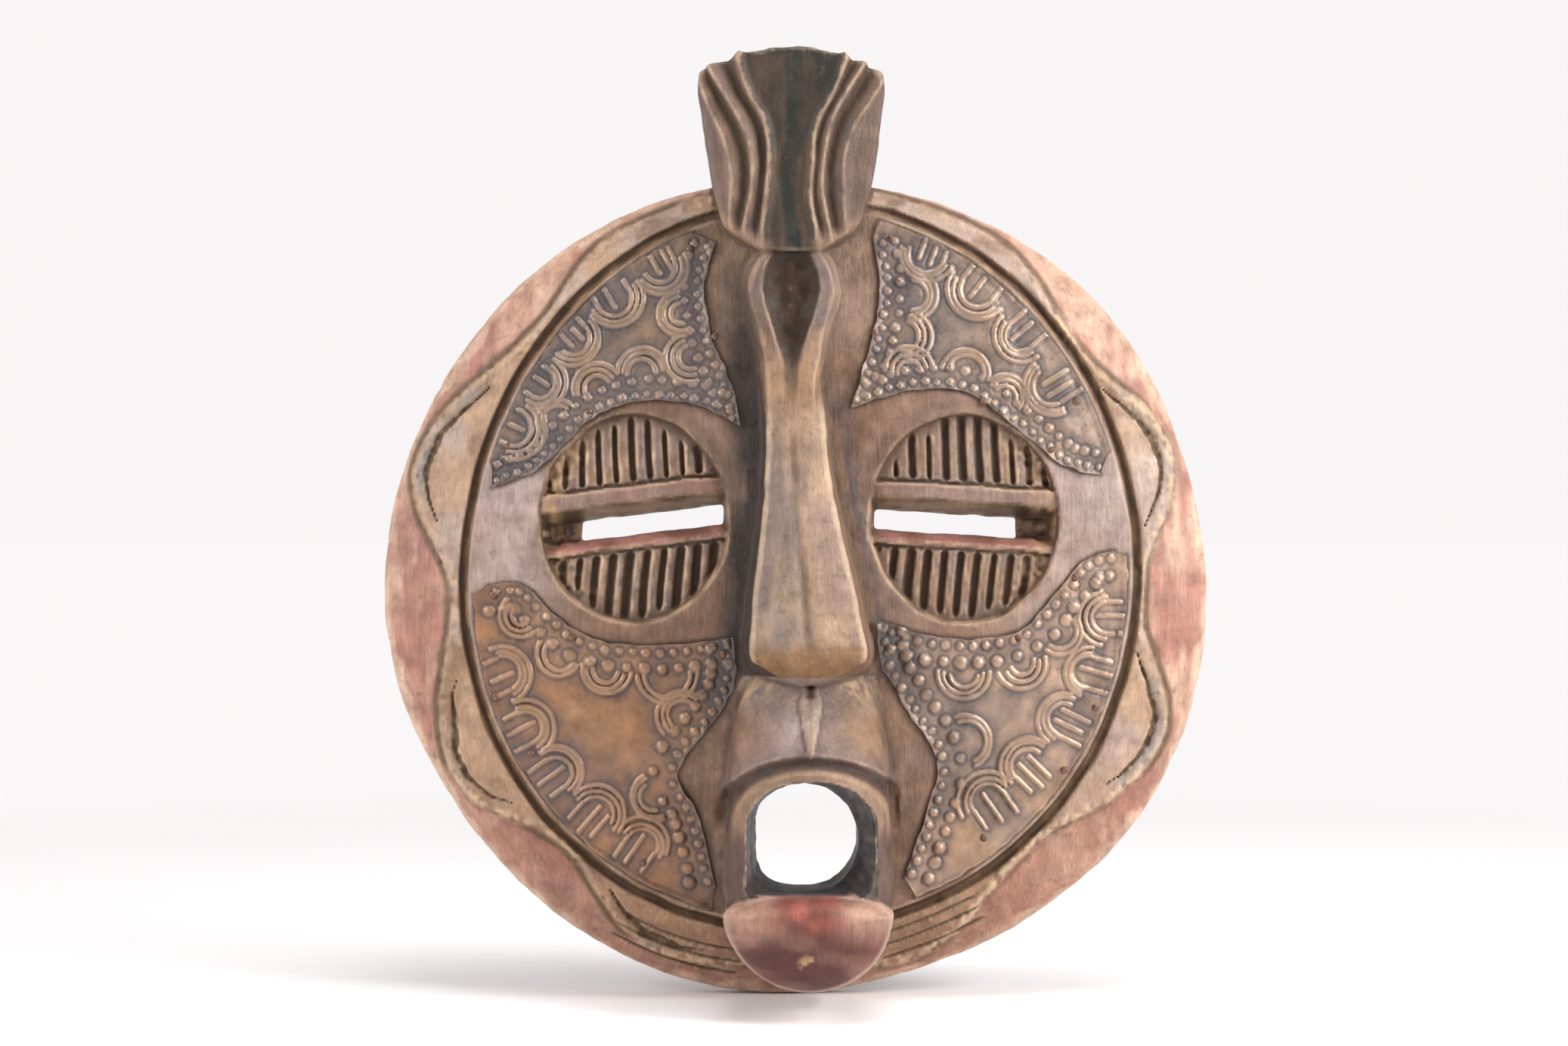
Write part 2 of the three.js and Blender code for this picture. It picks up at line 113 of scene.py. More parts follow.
EYE_X = 78.6
EYE_Z = 31.4
EYE_RADIUS_X = 45
EYE_RADIUS_Z = 49.5
SOCKET_DEPTH = 7
SOCKET_TILT = 0.1
LID_CROWN = 3.2
SLIT_HALF = 34
SLIT_TOWARD_NOSE = 8.5
SLIT = (-7.8, 1.7)
UPPER_BAR = (8.8, 15.3)
LOWER_BAR = (-14, -7.8)
BAR_FRONT = 6
DROOP = {-1: 0.12, 1: 0.06}
FLUTE_PITCH = 8
FLUTE_DEPTH = 3.4

NOSE_X = [(92, -1.6), (61, -1), (21, 1), (-19, 3.4), (-34, 4.3), (-46, 4.3)]
NOSE_HALF = [(92, 11), (86, 12), (61, 13.6), (21, 18.5), (-19, 25), (-34, 26), (-42, 22), (-46, 16)]
NOSE_FRONT = [(92, 53), (84, 60), (73, 66), (61, 69), (21, 77), (-19, 84), (-28, 86), (-38, 82), (-46, 73)]
NOSE_FOOT = -46

MUZZLE_X = 4.4
MUZZLE_HALF = [
    (-38, 27), (-54, 33.5), (-72, 37.5), (-90, 39.5), (-120, 40), (-150, 39.5), (-172, 31), (-184, 20),
]
MUZZLE_FRONT = [
    (-38, 55), (-54, 71), (-72, 86), (-90, 97), (-120, 102), (-150, 104), (-172, 98), (-184, 84),
]
MUZZLE_BASE = 20
MUZZLE_BOTTOM = -188
LEAF_X = MUZZLE_X + 1.0
LEAF_HALF = 5.2
LEAF_TIP = -81
LEAF_TOP = -50
LIP_X = 4.3
LIP_Z = -150
LIP_HALF = 39
LIP_BELOW = 35.8
LIP_ABOVE = 9.2
LIP_BACK = 62
LIP_SWELLS_FROM = 95
LIP_FRONT = 117.5
MOUTH_X = 5.5
MOUTH_HALF = 30
MOUTH_BOTTOM = -142
MOUTH_SPRING = -112
MOUTH_RISE = 22
ARCH_BAND = 7.5
THROAT_X = 0.8
THROAT_Z = -119.5
THROAT_RADIUS = 27

CREST_X = -3.6
CREST_BACK = 14
CREST_TOP = 250.7
CREST_FOOT = 157
CREST_FOOT_FLAT = 13
CREST_FOOT_RISE = 0.62
CREST_LEFT = [(150, 25.5), (168, 31.4), (180, 35.5), (203, 39.7), (225, 43), (240, 43.9), (251, 41)]
CREST_RIGHT = [(150, 22), (168, 31), (180, 35.5), (203, 40.5), (225, 43), (240, 43.4), (251, 40)]
CREST_FRONT = [(150, 59), (168, 61.5), (203, 66.5), (240, 71), (251, 72)]
# The sharp ridges of each lobe, from the middle band outwards: (z, offset from the crest's middle).
LOBE_RIDGES = {
    -1: [
        [(154, 14.5), (165, 14), (185, 12), (202, 10.8), (212, 11.6), (220, 14), (229, 19.4), (246, 25.5)],
        [(158, 22), (166, 22.6), (188, 18.8), (202, 18.8), (215, 22.8), (227, 29.6), (240, 37.5), (250, 42)],
        [(160, 26.5), (170, 28.9), (192, 28.6), (202, 29.9), (213, 33.6), (223, 38.4), (238, 44)],
    ],
    1: [
        [(154, 13), (166, 12), (182, 9.2), (198, 10.2), (211, 11), (220, 14), (229, 19), (246, 26)],
        [(158, 20.5), (170, 17.5), (188, 14.4), (203, 15.8), (220, 19.9), (234, 27.9), (246, 35.5)],
        [(162, 27), (169, 25.8), (188, 24.5), (205, 25.8), (217, 30.6), (229, 38.6), (238, 44)],
    ],
}
LOBE_GROOVE_DEPTH = 4.2
BAND_DEPTH = 2.2

DROP_Z = 139
DROP_HEIGHT = 57
DROP_HALF = [(70, 12), (84, 12), (98, 12.2), (117, 15), (130, 18.6), (139, 20.2)]
DROP_HOLLOW_HALF = [(82, 2.5), (92, 3.6), (104, 4.4), (117, 7.6), (127, 10.6), (139, 14)]
DROP_HOLLOW_TIP = 82
# Scales on the height above the widest line: less than 1 stretches a round top upwards.
DROP_SQUASH = 0.85
DROP_HOLLOW_SQUASH = 0.62
DROP_FLOOR = 50

# Near-black colour for painted shade: the shadow line along the sheets' edges and the recess beyond each slit.
CREVICE_SHADE = (0.045, 0.028, 0.018)

SHEET = 0.5
SHEET_LIFT = 0.3
RELIEF_LIFT = 0.25
PANEL_MARGIN = 5
SHEET_STEP = 0.7

# Each sheet runs along the ring groove between two angles, then back along the nose and round the eye.
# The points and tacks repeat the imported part's own. "combs" is the row of arcs along the rim: first and last
# angle, how many, and how far inside the groove the first and last sit. The scallops beside the nose and the
# eye are (share of the side, distance in from it, largest radius).
SHEETS = {
    "upper_left": {
        "arc": (158, 106),
        "nose": [(-40, 163), (-45, 142), (-41, 116), (-33, 97), (-27.3, 74.7)],
        "eye": [(-27.3, 74.7), (-48, 85), (-78, 87), (-101, 77), (-123, 56), (-147, 46)],
        "tacks": [(-52, 160), (-40, 118), (-34, 80), (-100, 82), (-139, 66)],
        "combs": (113, 151, 5, 13, 10),
        "nose_scallops": [(0.36, 12.5, 10.5), (0.57, 13, 11)],
        "eye_scallops": [(0.365, 13, 12.5), (0.50, 11.5, 11.5), (0.65, 9.5, 10.5)],
        "colour": (0.215, 0.160, 0.138), "seed": 200,
    },
    "upper_right": {
        "arc": (23, 77),
        "nose": [(36, 165), (38.6, 139), (33.9, 114.3), (24.9, 84.1)],
        "eye": [(24.9, 84.1), (53.7, 92.4), (80, 91), (104, 74), (126, 57), (144.4, 52.4)],
        "tacks": [(44, 165), (36, 120), (87.9, 86.6), (120, 64), (132.6, 87.3)],
        "combs": (37.5, 68, 4, 18, 12.5),
        "nose_scallops": [(0.33, 15, 12.5), (0.53, 15, 12.5)],
        "eye_scallops": [(0.23, 9, 11), (0.40, 9, 11), (0.545, 8, 11)],
        "colour": (0.330, 0.242, 0.190), "seed": 210,
    },
    "lower_left": {
        "arc": (182, 256),
        "nose": [(-40, -144), (-48, -110), (-57.1, -88.3), (-37, -60), (-30, -43), (-31.6, -25.3)],
        "eye": [(-31.6, -25.3), (-72, -29), (-100, -25), (-118, -13), (-131.6, -0.5), (-149, -1)],
        "tacks": [(-36, -33), (-74.1, -133.3), (-128, -81.1), (-145, -53.8), (-108, -25.5), (-146, -5)],
        "combs": (197, 240, 5, 14, 21),
        "nose_scallops": [(0.40, 13.5, 12), (0.62, 12.5, 12.5)],
        "eye_scallops": [(0.25, 13.5, 14), (0.46, 13, 11.5), (0.605, 13.5, 11), (0.78, 12, 10)],
        "colour": (0.300, 0.160, 0.087), "seed": 220,
    },
    "lower_right": {
        "arc": (5, -69),
        "nose": [(50, -140), (60.2, -110), (65.6, -84.7), (50, -57), (39, -37), (36.5, -16.7)],
        "eye": [(36.5, -16.7), (70, -25.5), (103.4, -22.5), (124.6, -2), (137.2, 12), (151, 16)],
        "tacks": [(104.1, -25.5), (131.8, 3.5), (152.4, -23.5), (141.6, -58.8), (126.8, -89), (88.3, -121.1)],
        "combs": (-6, -48, 5, 14, 26),
        "nose_scallops": [(0.47, 15.5, 13)],
        "eye_scallops": [(0.335, 16, 12), (0.505, 15, 11.5), (0.635, 13, 11)],
        "colour": (0.400, 0.275, 0.200), "seed": 230,
    },
}

# Two rows of dots follow the nose and eye sides: spacing, distance in from the side, radius.
DOT_ROWS = {
    "upper": ((5.6, 3.2, 1.9), (6.0, 9.8, 2.3)),
    "lower": ((6.6, 3.4, 2.2), (7.8, 11.5, 3.0)),
}
COMB_RADII = (8.4, 11.1, 13.8)
SCALLOP_STEP = 2.7
RIDGE_HALF = 1.5
ARC_REACH = 92
PATINA_REACH = 6.0
# The sunk line round each raised mark lies this far outside it.
RING_GAP = 0.2
DEGREES_PER_RADIAN = 57.3

# Heads and shanks of the tacks.
TACK_RADIUS = 1.8
TACK_HEIGHT = 1.2
TACK_SHANK = 0.7
TACK_LENGTH = 8
TACK_SIDES = 20
WIRE_SIDES = 14
# The staple's bends, in metres.
STAPLE_BEND = 0.0026

# The studio, in metres.
CAMERA_DISTANCE = 1.494
CAMERA_X = -0.0071
CAMERA_Z = -0.1588
FOCAL_LENGTH = 70
SENSOR_WIDTH = 36
FLOOR_GAP = 0.0005
FLOOR_SIZE = 60
PAPER = (0.94, 0.915, 0.92)
PAPER_FADE = (0.42, 1.2)
AMBIENT = 0.45
LIGHT_TARGET = (0, 0, -0.17)

# The noise repeats after this many cells, and distances are worked out for this many targets at a time.
NOISE_SIZE = 32
TARGET_GROUP = 64


# ---------------------------------------------------------------- curves and noise

def curve(place, knots):
    """A smooth curve through (place, value) knots, level beyond its ends."""
    knots = np.array(sorted(knots), float)
    places, values = knots[:, 0], knots[:, 1]
    slopes = np.gradient(values, places)
    place = np.clip(place, places[0], places[-1])
    i = np.clip(np.searchsorted(places, place) - 1, 0, len(places) - 2)
    step = places[i + 1] - places[i]
    t = (place - places[i]) / step
    start = (2 * t**3 - 3 * t**2 + 1) * values[i] + (t**3 - 2 * t**2 + t) * step * slopes[i]
    end = (3 * t**2 - 2 * t**3) * values[i + 1] + (t**3 - t**2) * step * slopes[i + 1]
    return start + end


def ramp(low, high, value):
    """Runs smoothly from 0 at low to 1 at high; low may be the greater."""
    t = np.clip((value - low) / (high - low), 0, 1)
    return t * t * (3 - 2 * t)


def hump(distance, half_width):
    """1 on a line, falling to 0 at half_width from it."""
    t = np.clip(np.abs(distance) / half_width, 0, 1)
    return (1 - t * t) ** 1.5


def between(value, low, high, soft):
    """1 where a value lies between low and high, 0 outside, with soft edges."""
    return ramp(low - soft, low + soft, value) * (1 - ramp(high - soft, high + soft, value))


def noise(x, z, size, seed, h=0.0):
    """Smooth noise from -1 to 1 that changes over about size millimetres, the same on every run."""
    table = np.random.default_rng(seed).uniform(-1, 1, (NOISE_SIZE,) * 3).astype(np.float32)
    cells = []
    for value in np.broadcast_arrays(x, z, h):
        scaled = value / size + 1000
        whole = np.floor(scaled)
        part = scaled - whole
        cells.append((whole.astype(int) % NOISE_SIZE, part * part * (3 - 2 * part)))
    total = 0
    for corner in range(8):
        weight = 1
        index = []
        for axis in range(3):
            whole, part = cells[axis]
            far = (corner >> axis) & 1
            index.append((whole + far) % NOISE_SIZE)
            weight = weight * (part if far else 1 - part)
        total = total + weight * table[tuple(index)]
    return total * 1.6


def rough(x, z, size, seed, h=0.0):
    """Noise with two finer octaves."""
    return (noise(x, z, size, seed, h) + 0.5 * noise(x, z, size / 2, seed + 1, h)
            + 0.25 * noise(x, z, size / 4, seed + 2, h)) / 1.4


def join(a, b, round_over):
    """The lesser of two distance fields, blended where they meet."""
    blend = np.clip(0.5 + 0.5 * (b - a) / round_over, 0, 1)
    return b + (a - b) * blend - round_over * blend * (1 - blend)


def meet(a, b, round_over):
    """The greater of two distance fields, blended where they meet."""
    return -join(-a, -b, round_over)


def steepness(height):
    """How far a height field's vertical distance overstates the distance to its surface."""
    flat = height[..., 0]
    across, up = np.gradient(flat, VOXEL)
    return np.sqrt(1 + across**2 + up**2)[..., None]


# ---------------------------------------------------------------- disc and rim

def polar(x, z):
    """Radius and angle of a point about the disc's centre."""
    return np.hypot(x - DISC_X, z), np.arctan2(z, x - DISC_X)


def outline_radius(a):
    return (DISC_RADIUS + 1.8 * np.cos(a) - 0.7 * np.sin(a) + np.cos(2 * a)
            - 0.7 * np.sin(4 * a) - 1.1 * np.cos(5 * a) - 0.7 * np.sin(5 * a))


def groove_radius(a):
    return (168 + 3 * np.cos(a) + 7.2 * np.sin(a) - 6.6 * np.cos(2 * a)
            + 1.3 * np.sin(2 * a) - 1.5 * np.sin(3 * a))


def wave_radius(a):
    degrees = np.degrees(a) % 360
    places = np.array([place for place, _ in WAVE], float)
    values = np.array([radius for _, radius in WAVE], float)
    i = np.clip(np.searchsorted(places, degrees, side="right") - 1, 0, len(WAVE) - 2)
    t = (degrees - places[i]) / (places[i + 1] - places[i])
    return values[i] + (values[i + 1] - values[i]) * (1 - np.cos(np.pi * t)) / 2


def wave_distance(r, a):
    """How far a point lies outside the wavy line, measured square to it."""
    step = 0.01
    slope = (wave_radius(a + step) - wave_radius(a - step)) / (2 * step) / WAVE_MEAN_RADIUS
    return (r - wave_radius(a)) / np.sqrt(1 + slope**2)


def span(a, low, high):
    """Runs from 0 at each end of an arc of angles to 1 in its middle, and is 0 outside it."""
    degrees = np.degrees(a) % 360
    t = np.clip((degrees - low) / (high - low), 0, 1)
    return np.sin(np.pi * t)


def dome_height(x, z):
    r, a = polar(x, z)
    share = np.minimum(1, r / groove_radius(a))
    return GROOVE_HEIGHT + (DOME_HEIGHT - GROOVE_HEIGHT) * (1 - share**2)


def crescent(r, a):
    """How deep inside one of the rim's crescent cuts a point is, from 0 to 1."""
    inside = 0
    wobble = 0.6 * noise(r * np.cos(a), r * np.sin(a), 9, 40)
    for low, high in CRESCENTS:
        width = CRESCENT_HALF_WIDTH * span(a, low, high)
        distance = wave_distance(r, a) + CRESCENT_INSET + wobble
        inside = np.maximum(inside, np.where(width > 0.3, hump(distance, np.maximum(width, 0.3)), 0))
    return inside


def chin_line(r, a):
    inside = 0
    for low, high in CHIN_LINES:
        reach = np.minimum(1, 3 * span(a, low, high))
        for inset in CHIN_INSETS:
            distance = outline_radius(a) - r - inset + 2.2 * np.cos(3 * a)
            inside = np.maximum(inside, reach * hump(distance, 1.4))
    return inside


def front_of_disc(x, z):
    """The carved front of the plain disc, with the ring groove and the rim's decoration."""
    r, a = polar(x, z)
    groove, edge = groove_radius(a), outline_radius(a)
    share = (r - groove) / (edge - groove)
    rim = curve(share, RIM_PROFILE)
    height = np.where(r < groove, dome_height(x, z), rim)
    outside = wave_distance(r, a)
    lobe = ramp(0, 3, outside)
    height = height - 1.9 * lobe * (1 - ramp(6, 18, outside))
    height = height - WAVE_DEPTH * hump(outside + 0.7 * noise(x, z, 11, 3), WAVE_HALF_WIDTH)
    height = height + (0.7 + 0.7 * noise(x, z, 2.6, 42)) * hump(outside + 3.4, 3.2)
    height = height - CRESCENT_DEPTH * crescent(r, a) * (1 + 0.25 * noise(x, z, 2.2, 41))
    height = height - CHIN_LINE_DEPTH * chin_line(r, a)
    wander = 0.5 * noise(x, z, 14, 5)
    height = height - GROOVE_DEPTH * hump(r - groove + wander, GROOVE_HALF_WIDTH)
    worked = 0.45 * noise(x, z, 21, 7) + 0.2 * noise(x, z, 8, 8) + 0.1 * noise(x, z, 3, 9)
    return height + worked


def scoops(x, z):
    """The hollow's gouge marks: shallow overlapping scoops that run up and down."""
    depth = np.full(np.broadcast_shapes(x.shape, z.shape), -9.0)
    rng = np.random.default_rng(11)
    for column in np.arange(-176, 177, 15):
        for row in np.arange(-180, 181, 30):
            across = column + rng.uniform(-4, 4)
            up = row + rng.uniform(-9, 9) + (15 if column % 2 else 0)
            turn = rng.uniform(-0.35, 0.35)
            u = (x - across) * math.cos(turn) + (z - up) * math.sin(turn)
            v = (z - up) * math.cos(turn) - (x - across) * math.sin(turn)
            depth = np.maximum(depth, rng.uniform(1.2, 1.9) - u**2 / 75 - v**2 / 260)
    return np.clip(depth, -0.2, 1.9)


def ceiling_of_hollow(x, z):
    r, a = polar(x, z)
    share = r / (outline_radius(a) - BACK_RIM_WIDTH)
    height = curve(share, HOLLOW_PROFILE)
    return height + 0.9 * scoops(x, z) * (1 - ramp(0.88, 0.98, share)) - 0.6


def disc(x, z, h):
    r, a = polar(x, z)
    top = front_of_disc(x, z)
    front = (h - top) / steepness(top)
    edge = outline_radius(a) + 0.35 * noise(x, z, 17, 12, h) + 0.2 * noise(x, z, 5, 13, h)
    wall = r - edge + 0.12 * np.maximum(0, 6 - h)
    return meet(meet(front, wall, 2.4), -h + 0 * x, 1.6)


def hollow(x, z, h):
    ceiling = ceiling_of_hollow(x, z)
    return (h - ceiling) / steepness(ceiling)


# ---------------------------------------------------------------- eyes

def eye_frame(x, z, side):
    """A point as an eye has it: outward from the nose, up, above the slit's line, share of the socket."""
    outward = side * (x - side * EYE_X)
    up = z - EYE_Z
    across_slit = up + DROOP[side] * outward
    share = np.hypot(outward / EYE_RADIUS_X, up / EYE_RADIUS_Z)
    return outward, up, across_slit, share


def socket_floor(x, z, side):
    """The plane that the lids and bars stand on."""
    centre = dome_height(side * EYE_X, EYE_Z)
    return centre - SOCKET_DEPTH - math.tan(SOCKET_TILT) * side * (x - side * EYE_X) + 0 * z


def lid_flutes(x, z, side):
    """How deep inside one of the vertical flutes of the lids a point is, from 0 to 1."""
    outward, up, across, share = eye_frame(x, z, side)
    upper = across > 0
    lean = np.where(upper, 0.03, -0.09) * up
    place = (outward * side + lean + 0.35 * noise(x, z, 22, 20 + side)) / FLUTE_PITCH
    number = np.round(place)
    off = (place - number) * FLUTE_PITCH
    chance = noise(number * 7.3, np.where(upper, 3.1, 9.7), 1.0, 22 + side)
    width = np.where(upper, 2.1, 2.5) + 0.5 * chance
    start = np.where(upper, across - UPPER_BAR[1] - 1.6, LOWER_BAR[0] - 1.2 - across)
    end = 0.97 + 0.05 * chance
    reach = np.minimum(ramp(0, 2.2, start), 1 - ramp(end - 0.08, end + 0.02, share))
    return hump(off, width * (0.4 + 0.6 * reach)) * np.minimum(1, 1.8 * reach)


def lid_rib_highlight(x, z, side):
    """1 along the edge that each flute leaves on the lid to its right, where the painted highlight goes."""
    here, beside = lid_flutes(x, z, side), lid_flutes(x - 1.7, z, side)
    return ramp(0.12, 0.5, beside) * ramp(0.30, 0.10, here)


def lids(x, z, side):
    """The height of everything in the socket: two fluted lids and the two bars along the slit."""
    outward, _, across, share = eye_frame(x, z, side)
    floor = socket_floor(x, z, side)
    lid = 1.2 + LID_CROWN * (1 - np.minimum(1, share) ** 2) - FLUTE_DEPTH * lid_flutes(x, z, side)
    crumbled = ramp(0.55, 0.9, share) * ramp(0.2, 0.9, outward / EYE_RADIUS_X) * (np.abs(across) > 12)
    lid = lid + crumbled * 1.1 * noise(x, z, 2.4, 25)
    top_edge = UPPER_BAR[1] + 0.5 * noise(x, 0 * z, 9, 26)
    low_edge = LOWER_BAR[0] + 0.5 * noise(x, 0 * z, 9, 27)
    bar = BAR_FRONT - 1.2 * (outward / EYE_RADIUS_X) ** 2
    under = bar - 11 * (1 - ramp(SLIT[1] - 1, UPPER_BAR[0] + 0.5, across)) ** 1.2
    sill = bar - 0.8 - 6.5 * ramp(LOWER_BAR[0] + 1.5, LOWER_BAR[1] + 0.6, across)
    gap = -7.5 + 0.6 * noise(x, z, 3, 28)
    height = np.where(across > top_edge, lid, np.where(across > UPPER_BAR[0], bar, under))
    height = np.where(across < SLIT[1], gap, height)
    height = np.where(across < SLIT[0], sill, height)
    height = np.where(across < low_edge, lid, height)
    step = 1.4 * hump(across - top_edge - 0.9, 1.1) + 1.2 * hump(across - low_edge + 0.9, 1.0)
    return floor + height - step + 0.12 * noise(x, z, 2, 29)


def socket_space(side):
    def space(x, z, h):
        share = eye_frame(x, z, side)[3]
        height = lids(x, z, side)
        above_floor = h - socket_floor(x, z, side)
        wobble = 0.4 * noise(x, z, 12, 30)
        wall = (share - 1) * EYE_RADIUS_X + 1.2 + wobble - 0.26 * above_floor
        return meet(wall, (height - h) / np.minimum(steepness(height), 4), 0.5)
    return space


def slit_space(side):
    def space(x, z, h):
        outward, _, across, _ = eye_frame(x, z, side)
        wobble = 0.35 * noise(x, z, 7, 32, h)
        ends = np.abs(outward + SLIT_TOWARD_NOSE + 0.5 * wobble) - SLIT_HALF
        sides = np.maximum(across - SLIT[1], SLIT[0] - across) + wobble
        return meet(ends, sides, 1.2) + 0 * h
    return space


# ---------------------------------------------------------------- nose, muzzle, lip and mouth

def nose_half(z):
    return curve(z, NOSE_HALF)


def nose_crease(across, z):
    """How far a point lies to the right of the crease that runs down the nose."""
    return across + 1.5 - 2.0 * ramp(70, -20, z)


def nose(x, z, h):
    across = x - curve(z, NOSE_X) + 0.3 * noise(x, z, 20, 50)
    half = nose_half(z)
    share = np.clip(np.abs(across) / half, 0, 1.3)
    valley = 1.3 * hump(nose_crease(across, z), 5.5) * ramp(-31, -22, z)
    front = curve(z, NOSE_FRONT) - 2.6 * share**2.2 - valley + 0.25 * noise(x, z, 10, 51)
    front = front - 0.6 * hump(z + 29.5, 2) * (across > -4)
    top = (h - front) / steepness(front)
    wall = (np.abs(across) - half - 0.13 * (curve(z, NOSE_FRONT) - h)) * 0.98 + 0.2 * noise(z, h, 6, 52)
    foot = NOSE_FOOT - z + 9 * np.minimum(1, np.abs(across / 24)) ** 1.4 + 0.25 * (h - 74)
    return meet(meet(top, wall, 1.1), foot, 2.2)


def muzzle(x, z, h):
    across = (x - MUZZLE_X) / curve(z, MUZZLE_HALF)
    front = curve(z, MUZZLE_FRONT)
    above = np.maximum(0, h - MUZZLE_BASE) / (front - MUZZLE_BASE)
    arch = (np.abs(across) ** 3.0 + above**3.0) ** (1 / 3.0)
    skin = (arch - 1) * 0.8 * curve(z, MUZZLE_HALF) + 0.25 * noise(x, z, 9, 55, h)
    return meet(skin, MUZZLE_BOTTOM - z, 3)


def leaf(x, z):
    """The small pointed leaf under the nose: 1 inside, with its middle rib."""
    half = LEAF_HALF * np.clip((z - LEAF_TIP) / 26, 0, 1) ** 0.7 * (1 - 0.4 * ramp(-56, -48, z))
    off = np.abs(x - LEAF_X)
    inside = 1 - ramp(half - 0.8, half + 0.5, off)
    return inside * ramp(LEAF_TIP, LEAF_TIP + 3, z) * (1 - ramp(LEAF_TOP, LEAF_TOP + 3, z)), off


def mouth_distance(x, z):
    """Distance outside the mouth's outline: straight sides under an arch."""
    across = np.abs(x - MOUTH_X + 0.4 * noise(0 * x, z, 15, 57)) / MOUTH_HALF
    rise = np.maximum(0, z - MOUTH_SPRING) / MOUTH_RISE
    return ((across**2.1 + rise**2.1) ** (1 / 2.1) - 1) * (MOUTH_RISE + 4)


def mouth_space(x, z, h):
    """The mouth's tunnel: its arched front narrows to a rounder opening at the back."""
    streaks = 0.22 * noise(x, z, 2.5, 58, h / 9)
    funnel = 0.05 * (h - 90)
    floor = MOUTH_BOTTOM - 0.06 * np.maximum(0, 100 - h)
    front = meet(mouth_distance(x, z) + streaks - funnel, floor - z, 2.5)
    throat = np.hypot(x - THROAT_X, z - THROAT_Z) - THROAT_RADIUS
    return meet(front, throat + streaks - 0.35 * np.maximum(0, h - 62), 5)


def face_details(x, z):
    """Depth cut into the muzzle's skin by the arch line, less the height of the leaf."""
    off = mouth_distance(x, z) - ARCH_BAND
    fade = ramp(-120, -106, z) * (1 - ramp(-66, -60, z))
    arch = 2.6 * hump(off - 2, 5.0) * fade
    inside, rib = leaf(x, z)
    raised = inside * (1.5 + 0.7 * hump(rib, 2.2))
    pit = 2.6 * hump(x - MUZZLE_X - 0.8, 3.0) * between(z, -53, -47, 1)
    return arch - raised + pit


def lip_share(x, z):
    across = np.abs(x - LIP_X) / LIP_HALF
    below = np.maximum(0, LIP_Z - z) / LIP_BELOW
    above = np.maximum(0, z - LIP_Z + 2.5 * across**2) / LIP_ABOVE
    lower = (across**1.95 + below**1.95) ** (1 / 1.95)
    upper = (across**2.3 + above**2.3) ** (1 / 2.3)
    return np.where(z < LIP_Z, lower, upper)


def lip(x, z, h):
    share = lip_share(x, z)
    dip = 1.2 * hump(x - LIP_X, 9) * ramp(-158, -146, z)
    swell = np.maximum(0, h - LIP_SWELLS_FROM + dip) / (LIP_FRONT - LIP_SWELLS_FROM)
    skin = ((share**2.6 + swell**2.6) ** (1 / 2.6) - 1) * 21
    return meet(skin + 0.3 * noise(x, z, 12, 59, h), LIP_BACK - h + 0 * x, 3)


# ---------------------------------------------------------------- forehead and crest

def drop_distance(x, z, half_widths, squash=DROP_SQUASH):
    """Distance outside a teardrop with a round top, whose half width is given by height below it."""
    across = np.abs(x - CREST_X)
    round_top = np.hypot(across, squash * (z - DROP_Z)) - half_widths[-1][1]
    return np.where(z > DROP_Z, round_top, across - curve(z, half_widths))


def hollow_distance(x, z):
    """Distance outside the hollow inside the teardrop, without its pointed tip."""
    return drop_distance(x, z, DROP_HOLLOW_HALF, DROP_HOLLOW_SQUASH)


def drop_rim(x, z, h):
    wall = drop_distance(x, z, DROP_HALF) + 0.35 * noise(x, z, 9, 60)
    top = DROP_HEIGHT + 3.5 * ramp(112, 84, z)
    body = meet(wall - 0.22 * (DROP_HEIGHT - h), h - top + 0 * x, 1.6)
    return meet(body, 72 - z + 0 * h, 2)


def drop_space(x, z, h):
    wall = hollow_distance(x, z) + 0.3 * noise(x, z, 6, 61, h)
    wall = meet(wall, DROP_HOLLOW_TIP - z + 0 * h, 1.5)
    floor = DROP_FLOOR + 9.5 * ramp(120, 88, z) + 3.5 * ramp(-7, 2, wall) + 0.5 * noise(x, z, 4, 62)
    return meet(wall - 0.3 * (h - DROP_HEIGHT), floor - h, 1.8)


def crest_foot(offset):
    """How low the crest reaches: flat over the teardrop, then rising to each side."""
    return CREST_FOOT + CREST_FOOT_RISE * np.maximum(0, np.abs(offset) - CREST_FOOT_FLAT)


def crest_width(z, side):
    return curve(z, CREST_LEFT if side < 0 else CREST_RIGHT)


def crest_half(offset, z):
    return np.where(offset < 0, crest_width(z, -1), crest_width(z, 1))


def lobe_cut(x, z):
    """Depth of the lobes' flutes and of the sunk band between them, and how near a ridge a point is."""
    cut, ridge = 0, 0
    fade = ramp(156, 172, z)
    for side in (-1, 1):
        offset = side * (x - CREST_X)
        lines = [curve(z, knots) for knots in LOBE_RIDGES[side]] + [crest_width(z, side) + 3]
        mine = offset > 0
        for number, (inner, outer) in enumerate(zip(lines, lines[1:])):
            t = np.clip((offset - inner) / np.maximum(outer - inner, 0.5), 0, 1)
            room = np.minimum(1, (outer - inner) / 8)
            tooth = np.where(t < 0.28, t / 0.28, (1 - t) / 0.72) ** 0.85
            inside = (offset > inner) & (offset <= outer) & mine
            shallow = 0.45 if number == 2 else 1
            cut = np.where(inside, LOBE_GROOVE_DEPTH * shallow * tooth * room * fade, cut)
            ridge = np.maximum(ridge, np.where(mine, hump(offset - inner, 1.1), 0))
        band = 1 - ramp(lines[0] - 4.5, lines[0] - 0.5, offset)
        cut = np.where(mine & (offset <= lines[0]), BAND_DEPTH * band * fade, cut)
    return cut, ridge * fade


